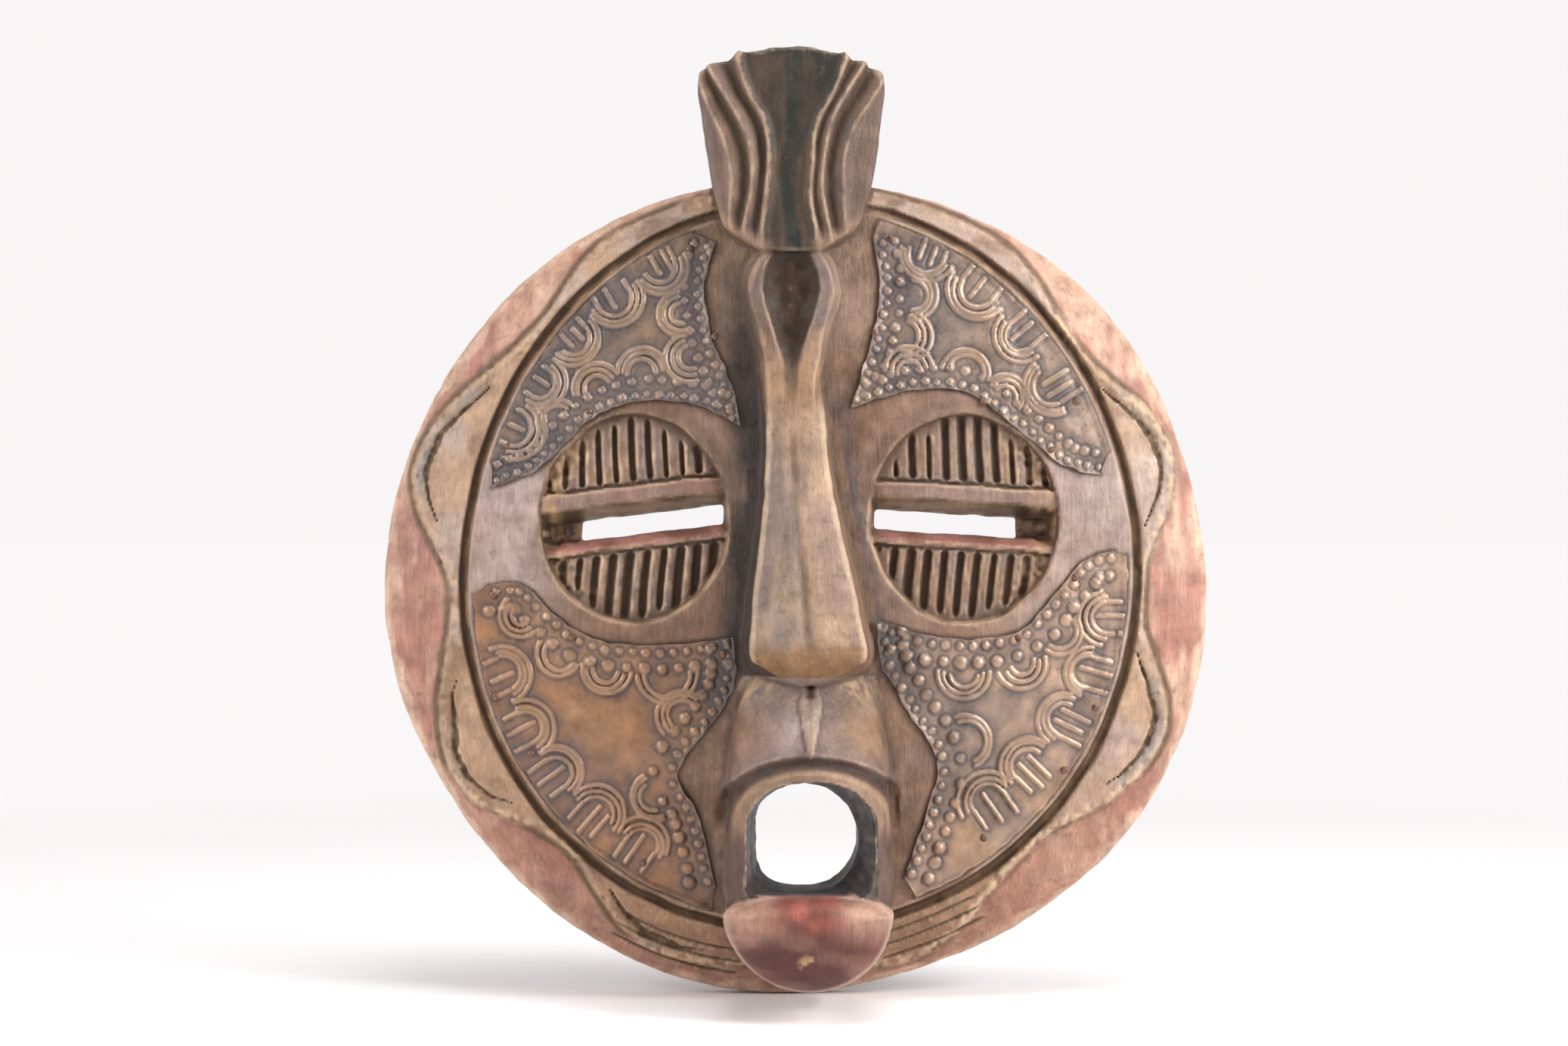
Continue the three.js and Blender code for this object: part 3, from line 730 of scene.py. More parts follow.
def crest(x, z, h):
    offset = x - CREST_X
    half = crest_half(offset, z)
    share = np.abs(offset) / half
    cut, _ = lobe_cut(x, z)
    front = curve(z, CREST_FRONT) - 6.5 * share**3.2 - cut + 0.3 * noise(x, z, 7, 65)
    notch = 0.55 * cut * ramp(9, 14, np.abs(offset))
    rounded = 11 * np.clip(np.abs(offset) / 44, 0, 1) ** 2.6
    top_line = CREST_TOP + 1.4 - rounded - notch + 0.6 * noise(x, h, 9, 66)
    skin = (h - front) / np.minimum(steepness(front), 3.5)
    wall = (np.abs(offset) - half) + 0.3 * noise(z, h, 10, 67)
    body = meet(meet(skin, wall, 3), (z - top_line) * 0.95, 2)
    back = CREST_BACK + 0.45 * np.maximum(0, z - 240) - h
    return meet(meet(body, back, 1.4), crest_foot(offset) - z, 3)


# ---------------------------------------------------------------- the carved block

class Volume:
    """A block of voxels that holds the distance to the wood's surface, negative inside."""

    def __init__(self, low, high):
        self.low = np.array(low, float)
        self.axes = [np.arange(a, b, VOXEL) for a, b in zip(low, high)]
        self.field = np.full([len(axis) for axis in self.axes], FAR_OUTSIDE, np.float32)

    def part(self, low, high):
        where, places = [], []
        for axis, (a, b) in enumerate(zip(low, high)):
            first, last = np.searchsorted(self.axes[axis], (a, b))
            where.append(slice(first, last))
            shape = [1, 1, 1]
            shape[axis] = -1
            places.append(self.axes[axis][first:last].reshape(shape))
        return tuple(where), places

    def add(self, shape, low, high, fillet):
        where, (x, z, h) = self.part(low, high)
        self.field[where] = join(self.field[where], shape(x, z, h), fillet)

    def cut(self, shape, low, high, fillet):
        where, (x, z, h) = self.part(low, high)
        self.field[where] = meet(self.field[where], -shape(x, z, h), fillet)

    def engrave(self, depth, low, high):
        """Pushes the surface in by a depth given over x and z."""
        where, (x, z, _) = self.part(low, high)
        self.field[where] += ENGRAVE_SHARE * depth(x, z)

    def surface(self):
        reach = 3 * VOXEL
        grid = openvdb.FloatGrid(reach)
        grid.copyFromArray(np.clip(self.field, -reach, reach))
        points, _, quads = grid.convertToPolygons(0.0, 0.0)
        return points.astype(float) * VOXEL + self.low, quads.astype(int)


def carve():
    wood = Volume((-206, -204, -4), (208, 256, 122))
    wood.add(disc, (-206, -204, -4), (208, 204, 60), 0.5)
    for side in (-1, 1):
        centre = side * EYE_X
        low, high = (centre - 56, -24, 18), (centre + 56, 88, 60)
        wood.cut(socket_space(side), low, high, 0.7)
        wood.cut(slit_space(side), (centre - 50, -4, -4), (centre + 50, 62, 60), 0.5)
    wood.add(drop_rim, (-34, 66, 36), (28, 172, 66), 1.6)
    wood.add(nose, (-40, -56, 30), (46, 96, 96), 1.2)
    wood.cut(drop_space, (-24, 76, 44), (18, 166, 80), 0.8)
    wood.add(crest, (-60, 140, 8), (54, 256, 84), 1.5)
    wood.add(muzzle, (-52, -196, 10), (62, -34, 116), 1.6)
    wood.engrave(face_details, (-40, -122, 40), (48, -44, 116))
    wood.add(lip, (-44, -196, 60), (54, -136, 122), 1.0)
    wood.cut(mouth_space, (-32, -146, -4), (44, -82, 122), 0.8)
    wood.cut(hollow, (-190, -190, -4), (190, 190, 40), 1.0)
    return wood.surface()


# ---------------------------------------------------------------- paint on the wood

def mix(first, second, share):
    """Moves a share of the way from first to second; each is one colour, or one colour for every point."""
    share = np.clip(share, 0, 1)[:, None]
    return np.asarray(first, float) * (1 - share) + np.asarray(second, float) * share


def choose(where, first, second):
    """First where a condition holds, otherwise second; each is one colour, or one colour for every point."""
    return np.where(where[:, None], first, second)


def sheet_edge_distance(x, z):
    """Distance to the nearest edge of a sheet, read from a grid of such distances."""
    step = 1.25
    lines = np.arange(-210, 211, step)
    grid = np.column_stack([part.ravel() for part in np.meshgrid(lines, lines)])
    edges = np.vstack([side for sheet in SHEETS.values() for side in sheet_outline(sheet, 2.0)])
    known = distance_to(grid, edges).reshape(len(lines), len(lines))
    across = np.clip((x - lines[0]) / step, 0, len(lines) - 1.01)
    up = np.clip((z - lines[0]) / step, 0, len(lines) - 1.01)
    column, row = across.astype(int), up.astype(int)
    s, t = across - column, up - row
    low = known[row, column] * (1 - s) + known[row, column + 1] * s
    high = known[row + 1, column] * (1 - s) + known[row + 1, column + 1] * s
    return low * (1 - t) + high * t


def paint_disc(x, z, h):
    brown, mauve, ochre = (0.190, 0.112, 0.072), (0.345, 0.265, 0.240), (0.155, 0.088, 0.050)
    patches = rough(x, z, 46, 70)
    colour = mix(brown, (0.285, 0.185, 0.130), 0.8 * ramp(30, 110, x))
    beside_eyes = ramp(88, 135, np.abs(x)) * ramp(92, 50, np.abs(z - 12))
    colour = mix(colour, mauve, beside_eyes * (0.95 + 0.35 * patches) + 0.22 * ramp(0.1, 0.8, patches))
    colour = mix(colour, ochre, 0.6 * ramp(0.1, 0.8, noise(x, z, 26, 72)) * (1 - 0.7 * beside_eyes))
    colour = mix(colour, (0.27, 0.175, 0.115), 0.7 * ramp(0.0, 0.8, noise(x, z, 17, 75)) * ramp(60, -150, z))
    forehead = 0.7 * between(z, 112, 175, 14) * ramp(46, 30, np.abs(x - CREST_X))
    colour = mix(colour, (0.30, 0.215, 0.155), forehead)
    # Dark beside the nose's left side: dark stain with painted shadow.
    left_of_nose = x - curve(z, NOSE_X) + nose_half(z) + 8 * ramp(84, 108, z)
    shade = between(left_of_nose, -17, 2, 7) * between(z, -48, 148, 12)
    colour = mix(colour, (0.050, 0.037, 0.033), shade * (0.88 + 0.3 * noise(x, z, 22, 73)))
    # Painted shadow: a dark line on the wood along each sheet's edge, where the lifted sheet throws shade.
    colour = mix(colour, CREVICE_SHADE, 0.8 * hump(sheet_edge_distance(x, z) - 0.4, 1.7))
    right_of_nose = x - curve(z, NOSE_X) - nose_half(z)
    shade = between(right_of_nose, -2, 14, 6) * between(z, -48, 96, 14)
    return mix(colour, (0.105, 0.075, 0.072), shade * (0.85 + 0.4 * noise(x, z, 20, 74)))


def crescent_reach(a, crescents):
    """1 at the middle angle of each of the crescents, falling to 0 at their ends."""
    reach = 0
    for low, high in crescents:
        reach = np.maximum(reach, span(a, low, high))
    return reach


def paint_tan_band(x, z, outside, a):
    """The rim inside its wavy line: warm tan that darkens towards the chin, grey beside the crescents."""
    tan = mix((0.375, 0.250, 0.165), (0.315, 0.185, 0.112), ramp(-30, -180, z))
    tan = mix(tan, (0.36, 0.29, 0.265), 0.6 * ramp(-0.2, 0.6, noise(x, z, 24, 76)) * ramp(-150, -60, z))
    tan = mix(tan, (0.185, 0.105, 0.058), 0.6 * ramp(0.1, 0.7, rough(x, z, 17, 77)))
    grey = crescent_reach(a, GREY_CRESCENTS) + 0.35 * crescent_reach(a, CRESCENTS)
    field = between(outside, -7.5, -3.0, 1.5) * ramp(0.15, 0.6, grey) * (0.8 + 0.4 * noise(x, z, 10, 87))
    return mix(tan, (0.235, 0.225, 0.220), 0.75 * field)


def paint_lobes(x, z, outside, to_edge):
    """The rim outside its wavy line: red paint, rubbed to pink and to bare wood at the very edge."""
    faded = 0.58 + 0.5 * rough(x, z, 26, 78) - 0.25 * ramp(40, 180, x)
    faded = faded + 0.35 * noise(x, z / 5, 3.5, 88)
    pink = mix((0.335, 0.160, 0.122), (0.50, 0.325, 0.240), faded)
    deep = ramp(0.1, 0.8, noise(x, z, 26, 79)) * ramp(14, 2, outside)
    pink = mix(pink, (0.250, 0.090, 0.076), 0.65 * deep)
    pink = mix(pink, (0.27, 0.130, 0.088), 0.65 * ramp(-20, -170, z))
    rubbed = ramp(5, 1.0, to_edge + 2.0 * noise(x, z, 8, 80))
    return mix(pink, (0.54, 0.39, 0.285), 0.7 * rubbed)


def paint_rim(colour, x, z):
    r, a = polar(x, z)
    groove = groove_radius(a)
    outside = wave_distance(r, a)
    lobes = paint_lobes(x, z, outside, outline_radius(a) - r)
    beyond = ramp(-0.6, 0.9, outside + 0.5 * noise(x, z, 4, 81))
    mixed = mix(paint_tan_band(x, z, outside, a), lobes, beyond)
    chipped = ramp(-0.25, 0.25, noise(x, z, 38, 84))
    mixed = mix(mixed, (0.115, 0.064, 0.033), 0.95 * hump(outside - 0.2, 2.6) * (1 - 0.75 * chipped))
    chips = hump(outside + 2.4, 3.4) * (0.35 + 0.75 * chipped) * ramp(-0.6, 0.1, noise(x, z, 2.6, 42))
    mixed = mix(mixed, (0.50, 0.37, 0.24), 0.8 * chips)
    cut = crescent(r, a)
    mixed = mix(mixed, (0.56, 0.42, 0.28), 0.6 * ramp(0.03, 0.25, cut) * ramp(-0.3, 0.3, noise(x, z, 3, 85)))
    mixed = mix(mixed, (0.120, 0.072, 0.036), 0.95 * ramp(0.3, 0.75, cut + 0.25 * noise(x, z, 1.8, 83)))
    line = chin_line(r, a)
    mixed = mix(mixed, (0.42, 0.30, 0.19), 0.5 * ramp(0.05, 0.3, line))
    mixed = mix(mixed, (0.110, 0.064, 0.034), 0.85 * ramp(0.3, 0.8, line))
    colour = mix(colour, mixed, ramp(0.5, 2.5, r - groove))
    rubbed = 0.5 * hump(r - groove + 3.2, 1.2) * ramp(-0.3, 0.3, noise(x, z, 12, 86))
    colour = mix(colour, (0.42, 0.32, 0.25), rubbed)
    in_groove = ramp(0.05, 0.4, hump(r - groove, GROOVE_HALF_WIDTH))
    brown = mix((0.245, 0.150, 0.080), (0.15, 0.09, 0.05), 0.5 + noise(x, z, 6, 89))
    colour = mix(colour, brown, in_groove)
    # Painted shadow: a dark line inside the ring groove, kept to one side of it that turns round the ring.
    return mix(colour, (0.065, 0.038, 0.023), hump(r - groove - 1.6 * np.sin(a - 0.8), 1.35))


def paint_lids(x, z, side):
    flutes = lid_flutes(x, z, side)
    lid = mix((0.165, 0.118, 0.106), (0.20, 0.125, 0.080), 0.5 + 0.7 * noise(x, z, 12, 90))
    # Painted shade deep in the flutes, and a painted highlight, partly worn edge, on the rib to the right of
    # each flute.
    lid = mix(lid, (0.080, 0.048, 0.026), 0.96 * ramp(0.10, 0.45, flutes))
    lid = mix(lid, (0.046, 0.026, 0.015), 0.8 * ramp(0.55, 0.9, flutes))
    return mix(lid, (0.46, 0.325, 0.22), 0.9 * lid_rib_highlight(x, z, side) * (0.75 + 0.5 * noise(x, z, 5, 95)))


def paint_socket(x, z, side):
    """The colours inside one eye socket: the lids, the two bars and the painted shade in the gap behind the
    slit.
    """
    outward, _, across, share = eye_frame(x, z, side)
    lid = paint_lids(x, z, side)
    bar = mix((0.235, 0.160, 0.130), (0.235, 0.115, 0.092), 0.4 + 0.8 * noise(x, z, 14, 91))
    under = mix((0.105, 0.062, 0.034), (0.175, 0.115, 0.070), 0.5 + noise(x / 4, z, 3, 92))
    sill = mix((0.285, 0.125, 0.100), (0.165, 0.070, 0.050), 0.5 + 0.8 * noise(x, z, 9, 93))
    ground = choose(across > UPPER_BAR[1] + 0.2, lid, bar)
    ground = choose(across < UPPER_BAR[0], under, ground)
    streak = ramp(-0.3, 0.5, noise(x / 9, z, 1.6, 97)) * between(across, SLIT[1] + 0.5, UPPER_BAR[0], 0.6)
    ground = mix(ground, (0.235, 0.155, 0.095), 0.7 * streak)
    # Painted shade: the gap behind the slit and the recess beyond the slit's outer end are painted near black.
    ground = choose(across < SLIT[1] - 0.5, (0.035, 0.021, 0.014), ground)
    recess = ramp(22, 26, outward) * between(across, SLIT[0], UPPER_BAR[0] - 1.5, 1)
    ground = mix(ground, CREVICE_SHADE, 0.85 * recess)
    ground = choose(across < SLIT[0] + 0.8, sill, ground)
    ground = choose(across < LOWER_BAR[0] - 0.1, lid, ground)
    # Painted shadow lines in the steps where the bars meet the lids.
    crease = np.maximum(hump(across - UPPER_BAR[1] - 1.2, 1.6), hump(across - LOWER_BAR[0] + 1.2, 1.1))
    ground = mix(ground, (0.045, 0.026, 0.016), 0.9 * crease)
    edge = np.maximum(hump(across - UPPER_BAR[1] + 0.6, 0.9), hump(across - LOWER_BAR[0] - 0.2, 0.9))
    ground = mix(ground, (0.40, 0.275, 0.185), 0.6 * edge)
    crumbled = ramp(0.66, 0.92, share) * ramp(0.1, 0.8, outward / EYE_RADIUS_X)
    ground = mix(ground, (0.335, 0.215, 0.125), 0.75 * crumbled * (0.6 + 0.8 * noise(x, z, 3, 94)))
    # Painted shade round the edge of the socket, where the lids meet its wall.
    return mix(ground, (0.115, 0.066, 0.038), 0.7 * ramp(0.86, 0.96, share) * (1 - crumbled))


def paint_eyes(colour, x, z, h):
    for side in (-1, 1):
        outward, up, _, share = eye_frame(x, z, side)
        floor = socket_floor(x, z, side)
        inside = (share < 1.05) & (share < 0.985 + 0.006 * (h - floor))
        colour = choose(inside, paint_socket(x, z, side), colour)
        # Painted light and shade on the socket's wall: dark at the top and outer side, pale tan at the bottom
        # towards the nose.
        lit_low_side = ramp(0.2, -0.7, up / EYE_RADIUS_Z + 0.45 * outward / EYE_RADIUS_X)
        lit_low_side = lit_low_side * (0.75 + 0.5 * noise(x, z, 7, 98))
        wall_light_and_shade = mix((0.105, 0.062, 0.038), (0.34, 0.23, 0.145), lit_low_side)
        wall = between(share, 0.985, 1.025, 0.010) * (h > floor - 3)
        colour = mix(colour, wall_light_and_shade, wall)
        above = ramp(0.1, 0.8, up / EYE_RADIUS_Z - 0.2 * outward / EYE_RADIUS_X)
        colour = mix(colour, (0.12, 0.072, 0.045), 0.5 * between(share, 1.02, 1.16, 0.05) * above)
    return colour


def paint_nose(colour, x, z, h):
    across = x - curve(z, NOSE_X)
    half = nose_half(z)
    front = curve(z, NOSE_FRONT)
    on = (np.abs(across) < half + 2.5) & (h > front - 6.5) & (z > NOSE_FOOT - 5)
    # Painted light: the nose's left facet painted as shaded and its right as lit, with a painted shade line
    # down the crease between them.
    left = mix((0.260, 0.185, 0.138), (0.185, 0.138, 0.115), 0.5 + noise(x, z / 3, 9, 100))
    right = mix((0.350, 0.240, 0.162), (0.28, 0.195, 0.145), 0.5 + noise(x, z / 3, 9, 101))
    line = nose_crease(across, z)
    skin = mix(left, right, ramp(-1, 1.5, line))
    crease = 0.8 * hump(line, 2.6) * ramp(98, 66, z) * (0.7 + 0.5 * noise(x, z, 14, 103))
    skin = mix(skin, (0.145, 0.085, 0.050), crease)
    skin = mix(skin, (0.24, 0.135, 0.062), 0.9 * ramp(-26, -32, z + 0.8 * noise(x, z, 5, 102)))
    skin = mix(skin, (0.28, 0.175, 0.105), 0.6 * ramp(50, 80, z))
    skin = mix(skin, (0.50, 0.375, 0.265), 0.6 * between(np.abs(across), half - 1.6, half + 1, 0.6))
    fade = ramp(92, 76, z)
    colour = mix(colour, skin, on * fade)
    # Painted shadow on the nose's left flank, near black; the right flank is painted lighter, as the lit side.
    side = (np.abs(across) < half + 9) & (h <= front - 6.5) & (h > 47) & (z > NOSE_FOOT - 3)
    flank = choose(across < 0, (0.048, 0.036, 0.032), (0.17, 0.105, 0.068))
    return mix(colour, flank, side * fade)


def paint_muzzle(colour, x, z, h):
    across = x - MUZZLE_X
    half = curve(z, MUZZLE_HALF)
    front = curve(z, MUZZLE_FRONT)
    on = (np.abs(across) < half + 2) & (h > 42) & (z < NOSE_FOOT + 3)
    skin = mix((0.275, 0.215, 0.207), (0.300, 0.210, 0.155), 0.4 + 0.9 * rough(x, z, 26, 110))
    # Pale tan along the muzzle's side edges: painted highlight and worn edge.
    skin = mix(skin, (0.43, 0.32, 0.235), 0.75 * between(np.abs(across) / half, 0.84, 0.97, 0.05))
    skin = mix(skin, (0.19, 0.130, 0.092), 0.8 * ramp(0, 24, across))
    under_nose = ramp(25, 0, z - NOSE_FOOT + 22) * ramp(0.2, 0.7, np.abs(across) / half)
    skin = mix(skin, (0.225, 0.135, 0.080), 0.8 * under_nose)
    putty = ramp(-58, -50, z) * ramp(10, 20, np.abs(across)) * ramp(-0.4, 0.3, noise(x, z, 3, 115, h))
    skin = mix(skin, (0.40, 0.28, 0.17), 0.8 * putty)
    skin = mix(skin, (0.155, 0.095, 0.068), ramp(front - 12, front - 32, h))
    off = mouth_distance(x, z)
    above_spring = ramp(-122, -108, z)
    skin = mix(skin, (0.155, 0.110, 0.100), 0.7 * between(off, ARCH_BAND, ARCH_BAND + 12, 5) * above_spring)
    skin = mix(skin, (0.215, 0.140, 0.095), between(off, -1, ARCH_BAND, 0.8) * above_spring)
    skin = mix(skin, (0.105, 0.068, 0.058), between(off, -1, 9, 1.5) * (1 - above_spring))
    # Painted shade in the groove above the mouth's arch.
    skin = mix(skin, (0.060, 0.037, 0.034), hump(off - ARCH_BAND - 2, 5.0) * above_spring)
    skin = mix(skin, (0.34, 0.225, 0.145), 0.7 * hump(off - ARCH_BAND + 2.2, 1.8) * above_spring)
    inside, rib = leaf(x, z)
    skin = mix(skin, (0.36, 0.265, 0.21), 0.7 * inside)
    skin = mix(skin, (0.16, 0.105, 0.075), 0.8 * inside * hump(rib, 1.0))
    # Painted shade in the small pit at the top of the leaf.
    skin = mix(skin, (0.09, 0.052, 0.030), 0.85 * between(z, -53, -47, 1) * hump(across - 0.8, 3.4))
    colour = choose(on, skin, colour)
    # Painted shade: the walls inside the mouth painted near black, with darker and lighter streaks.
    tunnel = (off < 0.5) & (z > MOUTH_BOTTOM - 2) & (h < front - 2.5)
    streaks = 0.45 + 0.8 * noise(x, z, 2.6, 113, h / 10)
    dark = mix((0.034, 0.028, 0.027), (0.085, 0.062, 0.055), streaks)
    return choose(tunnel, dark, colour)


def paint_lip(colour, x, z, h):
    share = lip_share(x, z)
    on = (share < 1.06) * ramp(76, 90, h) * (z < MOUTH_BOTTOM + 2.5)
    skin = mix((0.140, 0.046, 0.034), (0.080, 0.024, 0.019), 0.5 + 0.9 * rough(x, z, 22, 120))
    skin = mix(skin, (0.070, 0.021, 0.018), 0.75 * ramp(30, 10, np.hypot(0.8 * (x - LIP_X), z + 171)))
    # Painted highlight on the lip's upper left and right, with pale patches besides.
    highlight_and_pale_patches = ramp(-166, -150, z) * ramp(6, 24, np.abs(x - LIP_X))
    highlight_and_pale_patches = highlight_and_pale_patches + 0.25 * ramp(0.0, 0.9, noise(x / 2, z, 7, 121))
    skin = mix(skin, (0.42, 0.255, 0.185), 0.75 * highlight_and_pale_patches)
    red = ramp(-160, -150, z) * ramp(24, 10, np.abs(x - LIP_X + 2))
    skin = mix(skin, (0.285, 0.080, 0.058), 0.8 * red * (0.8 + 0.5 * noise(x, z, 7, 123)))
    skin = mix(skin, (0.46, 0.31, 0.25), 0.7 * between(share, 0.95, 1.03, 0.03))
    chip = ramp(6.5, 3.0, np.hypot(x - LIP_X, 1.3 * (z + 170))) * ramp(-0.2, 0.2, noise(x, z, 2.4, 122))
    skin = mix(skin, (0.40, 0.25, 0.13), 0.8 * chip)
    return mix(colour, skin, on)


def paint_crest(colour, x, z, h):
    offset = x - CREST_X
    half = crest_half(offset, z)
    bottom = crest_foot(offset)
    on = (np.abs(offset) < half + 2) & (z > bottom - 1) & (h > 12)
    cut, ridge = lobe_cut(x, z)
    inner = np.where(offset < 0, curve(z, LOBE_RIDGES[-1][0]), curve(z, LOBE_RIDGES[1][0]))
    on_band = np.abs(offset) < inner - 0.8
    lobe = mix((0.145, 0.098, 0.088), (0.175, 0.112, 0.080), 0.5 + 0.9 * noise(x, z / 3, 7, 130))
    # Painted shade deep in the lobes' flutes.
    lobe = mix(lobe, (0.060, 0.037, 0.018), ramp(0.40, 0.8, cut / LOBE_GROOVE_DEPTH))
    lobe = mix(lobe, (0.42, 0.30, 0.21), ridge * (0.65 + 0.5 * noise(x, z, 5, 134)))
    band = mix((0.037, 0.026, 0.018), (0.068, 0.043, 0.027), 0.5 + 0.8 * noise(x, z / 4, 6, 131))
    wander = 1.2 * noise(0 * x, z, 15, 132)
    middle = ramp(5.5, 2.0, np.abs(offset + 0.5 + wander))
    corner = ramp(6.5, 3.0, np.abs(offset - 15 + wander)) * ramp(212, 240, z)
    stripe = np.maximum(np.maximum(middle, corner), ramp(246, 250, z))
    band = mix(band, (0.012, 0.016, 0.012), stripe * (0.75 + 0.35 * noise(x, z / 5, 4, 133)))
    skin = choose(on_band, band, lobe)
    skin = mix(skin, (0.29, 0.19, 0.12), 0.75 * ramp(8, 3, z - bottom) * ramp(7, 15, np.abs(offset)))
    skin = mix(skin, (0.060, 0.038, 0.026), 0.35 * ramp(4, 20, offset) * ~on_band)
    flank = ramp(curve(z, CREST_FRONT) - 12, curve(z, CREST_FRONT) - 15, h) * ramp(248, 244, z)
    skin = mix(skin, (0.175, 0.108, 0.076), 0.85 * flank)
    return choose(on, skin, colour)


def paint_drop(colour, x, z, h):
    rim = drop_distance(x, z, DROP_HALF)
    hole = np.maximum(hollow_distance(x, z), DROP_HOLLOW_TIP - z)
    on = (rim < 3.5) & (h > 46) & (z > 72) & (z < 161)
    skin = mix((0.175, 0.128, 0.118), (0.295, 0.185, 0.110), ramp(132, 104, z) + 0.3 * noise(x, z, 9, 140))
    skin = mix(skin, (0.105, 0.068, 0.050), 0.6 * ramp(2, -12, x - CREST_X) * ramp(80, 120, z))
    skin = mix(skin, (0.42, 0.29, 0.19), 0.6 * hump(rim + 1.5, 1.4) * ramp(-0.2, 0.4, noise(x, z, 9, 142)))
    # Painted shade in the teardrop's hollow, heavier towards its top under the crest and deeper in.
    shade = ramp(86, 112, z)
    skin = mix(skin, (0.035, 0.020, 0.012), ramp(0.6, -2.0, hole) * (0.45 + 0.55 * shade))
    skin = mix(skin, (0.057, 0.029, 0.013), ramp(-3, -8, hole) * (0.6 + noise(x, z, 5, 141)))
    return mix(colour, skin, ramp(3.5, -1.0, rim) * on)


def paint_back(colour, x, z, h):
    r, a = polar(x, z)
    behind = (h < ceiling_of_hollow(x, z) + 3) & (r < outline_radius(a) - BACK_RIM_WIDTH + 2)
    behind = behind | (h < 2.5) | ((r > outline_radius(a) + 2) & (h < CREST_BACK + 2.5))
    raw = mix((0.27, 0.172, 0.100), (0.185, 0.115, 0.068), 0.5 + 0.9 * rough(x, z / 2, 24, 150))
    raw = mix(raw, (0.32, 0.215, 0.130), 0.3 * ramp(0.5, 1.6, scoops(x, z)) * (r < 180))
    raw = mix(raw, (0.12, 0.075, 0.045), 0.6 * ramp(0.2, 0.9, noise(x, z, 40, 151)))
    return choose(behind, raw, colour)


def paint_wood(x, z, h):
    colour = paint_disc(x, z, h)
    colour = paint_rim(colour, x, z)
    colour = paint_eyes(colour, x, z, h)
    colour = paint_drop(colour, x, z, h)
    colour = paint_crest(colour, x, z, h)
    colour = paint_nose(colour, x, z, h)
    colour = paint_muzzle(colour, x, z, h)
    colour = paint_lip(colour, x, z, h)
    colour = paint_back(colour, x, z, h)
    return np.clip(colour, 0.01, 1)


# ---------------------------------------------------------------- meshes

def to_metres(x, z, h):
    return np.column_stack((x, -h, z - ORIGIN_ABOVE_CENTRE)) * METRE


def from_metres(points):
    x, y, z = (points / METRE).T
    return x, z + ORIGIN_ABOVE_CENTRE, -y


def put_in_scene(name, data):
    thing = bpy.data.objects.new(name, data)
    bpy.context.scene.collection.objects.link(thing)
    return thing


def mesh_object(name, points, faces, smooth=True):
    mesh = bpy.data.meshes.new(name)
    mesh.from_pydata(points.tolist(), [], [list(map(int, face)) for face in faces])
    mesh.validate()
    mesh.update()
    if smooth:
        mesh.shade_smooth()
    else:
        mesh.shade_flat()
    return put_in_scene(name, mesh)


def vertices_of(thing):
    flat = np.empty(len(thing.data.vertices) * 3)
    thing.data.vertices.foreach_get("co", flat)
    return flat.reshape(-1, 3)


def add_value(thing, name, values):
    layer = thing.data.attributes.new(name, "FLOAT", "POINT")
    layer.data.foreach_set("value", np.clip(values, -1, 1).astype(np.float32))


def add_colour(thing, name, colours):
    layer = thing.data.attributes.new(name, "FLOAT_COLOR", "POINT")
    rgba = np.ones((len(colours), 4), np.float32)
    rgba[:, :3] = colours
    layer.data.foreach_set("color", rgba.ravel())


def bulge(thing, reach):
    """How far each point stands out of (+) or sinks into (-) what lies within reach, in millimetres."""
    mesh = thing.data
    rounds = max(1, round(1.6 * (reach / VOXEL) ** 2))
    ends = np.empty(len(mesh.edges) * 2, np.int32)
    mesh.edges.foreach_get("vertices", ends)
    first, second = ends[::2], ends[1::2]
    count = len(mesh.vertices)
    normals = np.empty(count * 3, np.float32)
    mesh.vertex_normals.foreach_get("vector", normals)
    degree = np.bincount(first, minlength=count) + np.bincount(second, minlength=count)
    degree = np.maximum(degree, 1)
    start = vertices_of(thing) / METRE
    place = start.copy()
    for _ in range(rounds):
        total = np.empty_like(place)
        for axis in range(3):
            total[:, axis] = (np.bincount(first, place[second, axis], count)
                              + np.bincount(second, place[first, axis], count))
        place = (1 - SMOOTHING) * place + SMOOTHING * total / degree[:, None]
    return np.einsum("ij,ij->i", start - place, normals.reshape(-1, 3))


def thin_out(thing, hidden, share):
    """Merges triangles where hidden is true, down to a share of them."""
    group = thing.vertex_groups.new(name="hidden")
    group.add([int(i) for i in np.nonzero(hidden)[0]], 1.0, "REPLACE")
    modifier = thing.modifiers.new("thin", "DECIMATE")
    modifier.ratio = 1 - hidden.mean() * (1 - share)
    modifier.vertex_group = "hidden"
    modifier.vertex_group_factor = 10
    graph = bpy.context.evaluated_depsgraph_get()
    thinned = bpy.data.meshes.new_from_object(thing.evaluated_get(graph))
    thing.modifiers.clear()
    thing.vertex_groups.clear()
    old = thing.data
    thing.data = thinned
    bpy.data.meshes.remove(old)
    thing.data.name = thing.name


# ---------------------------------------------------------------- materials

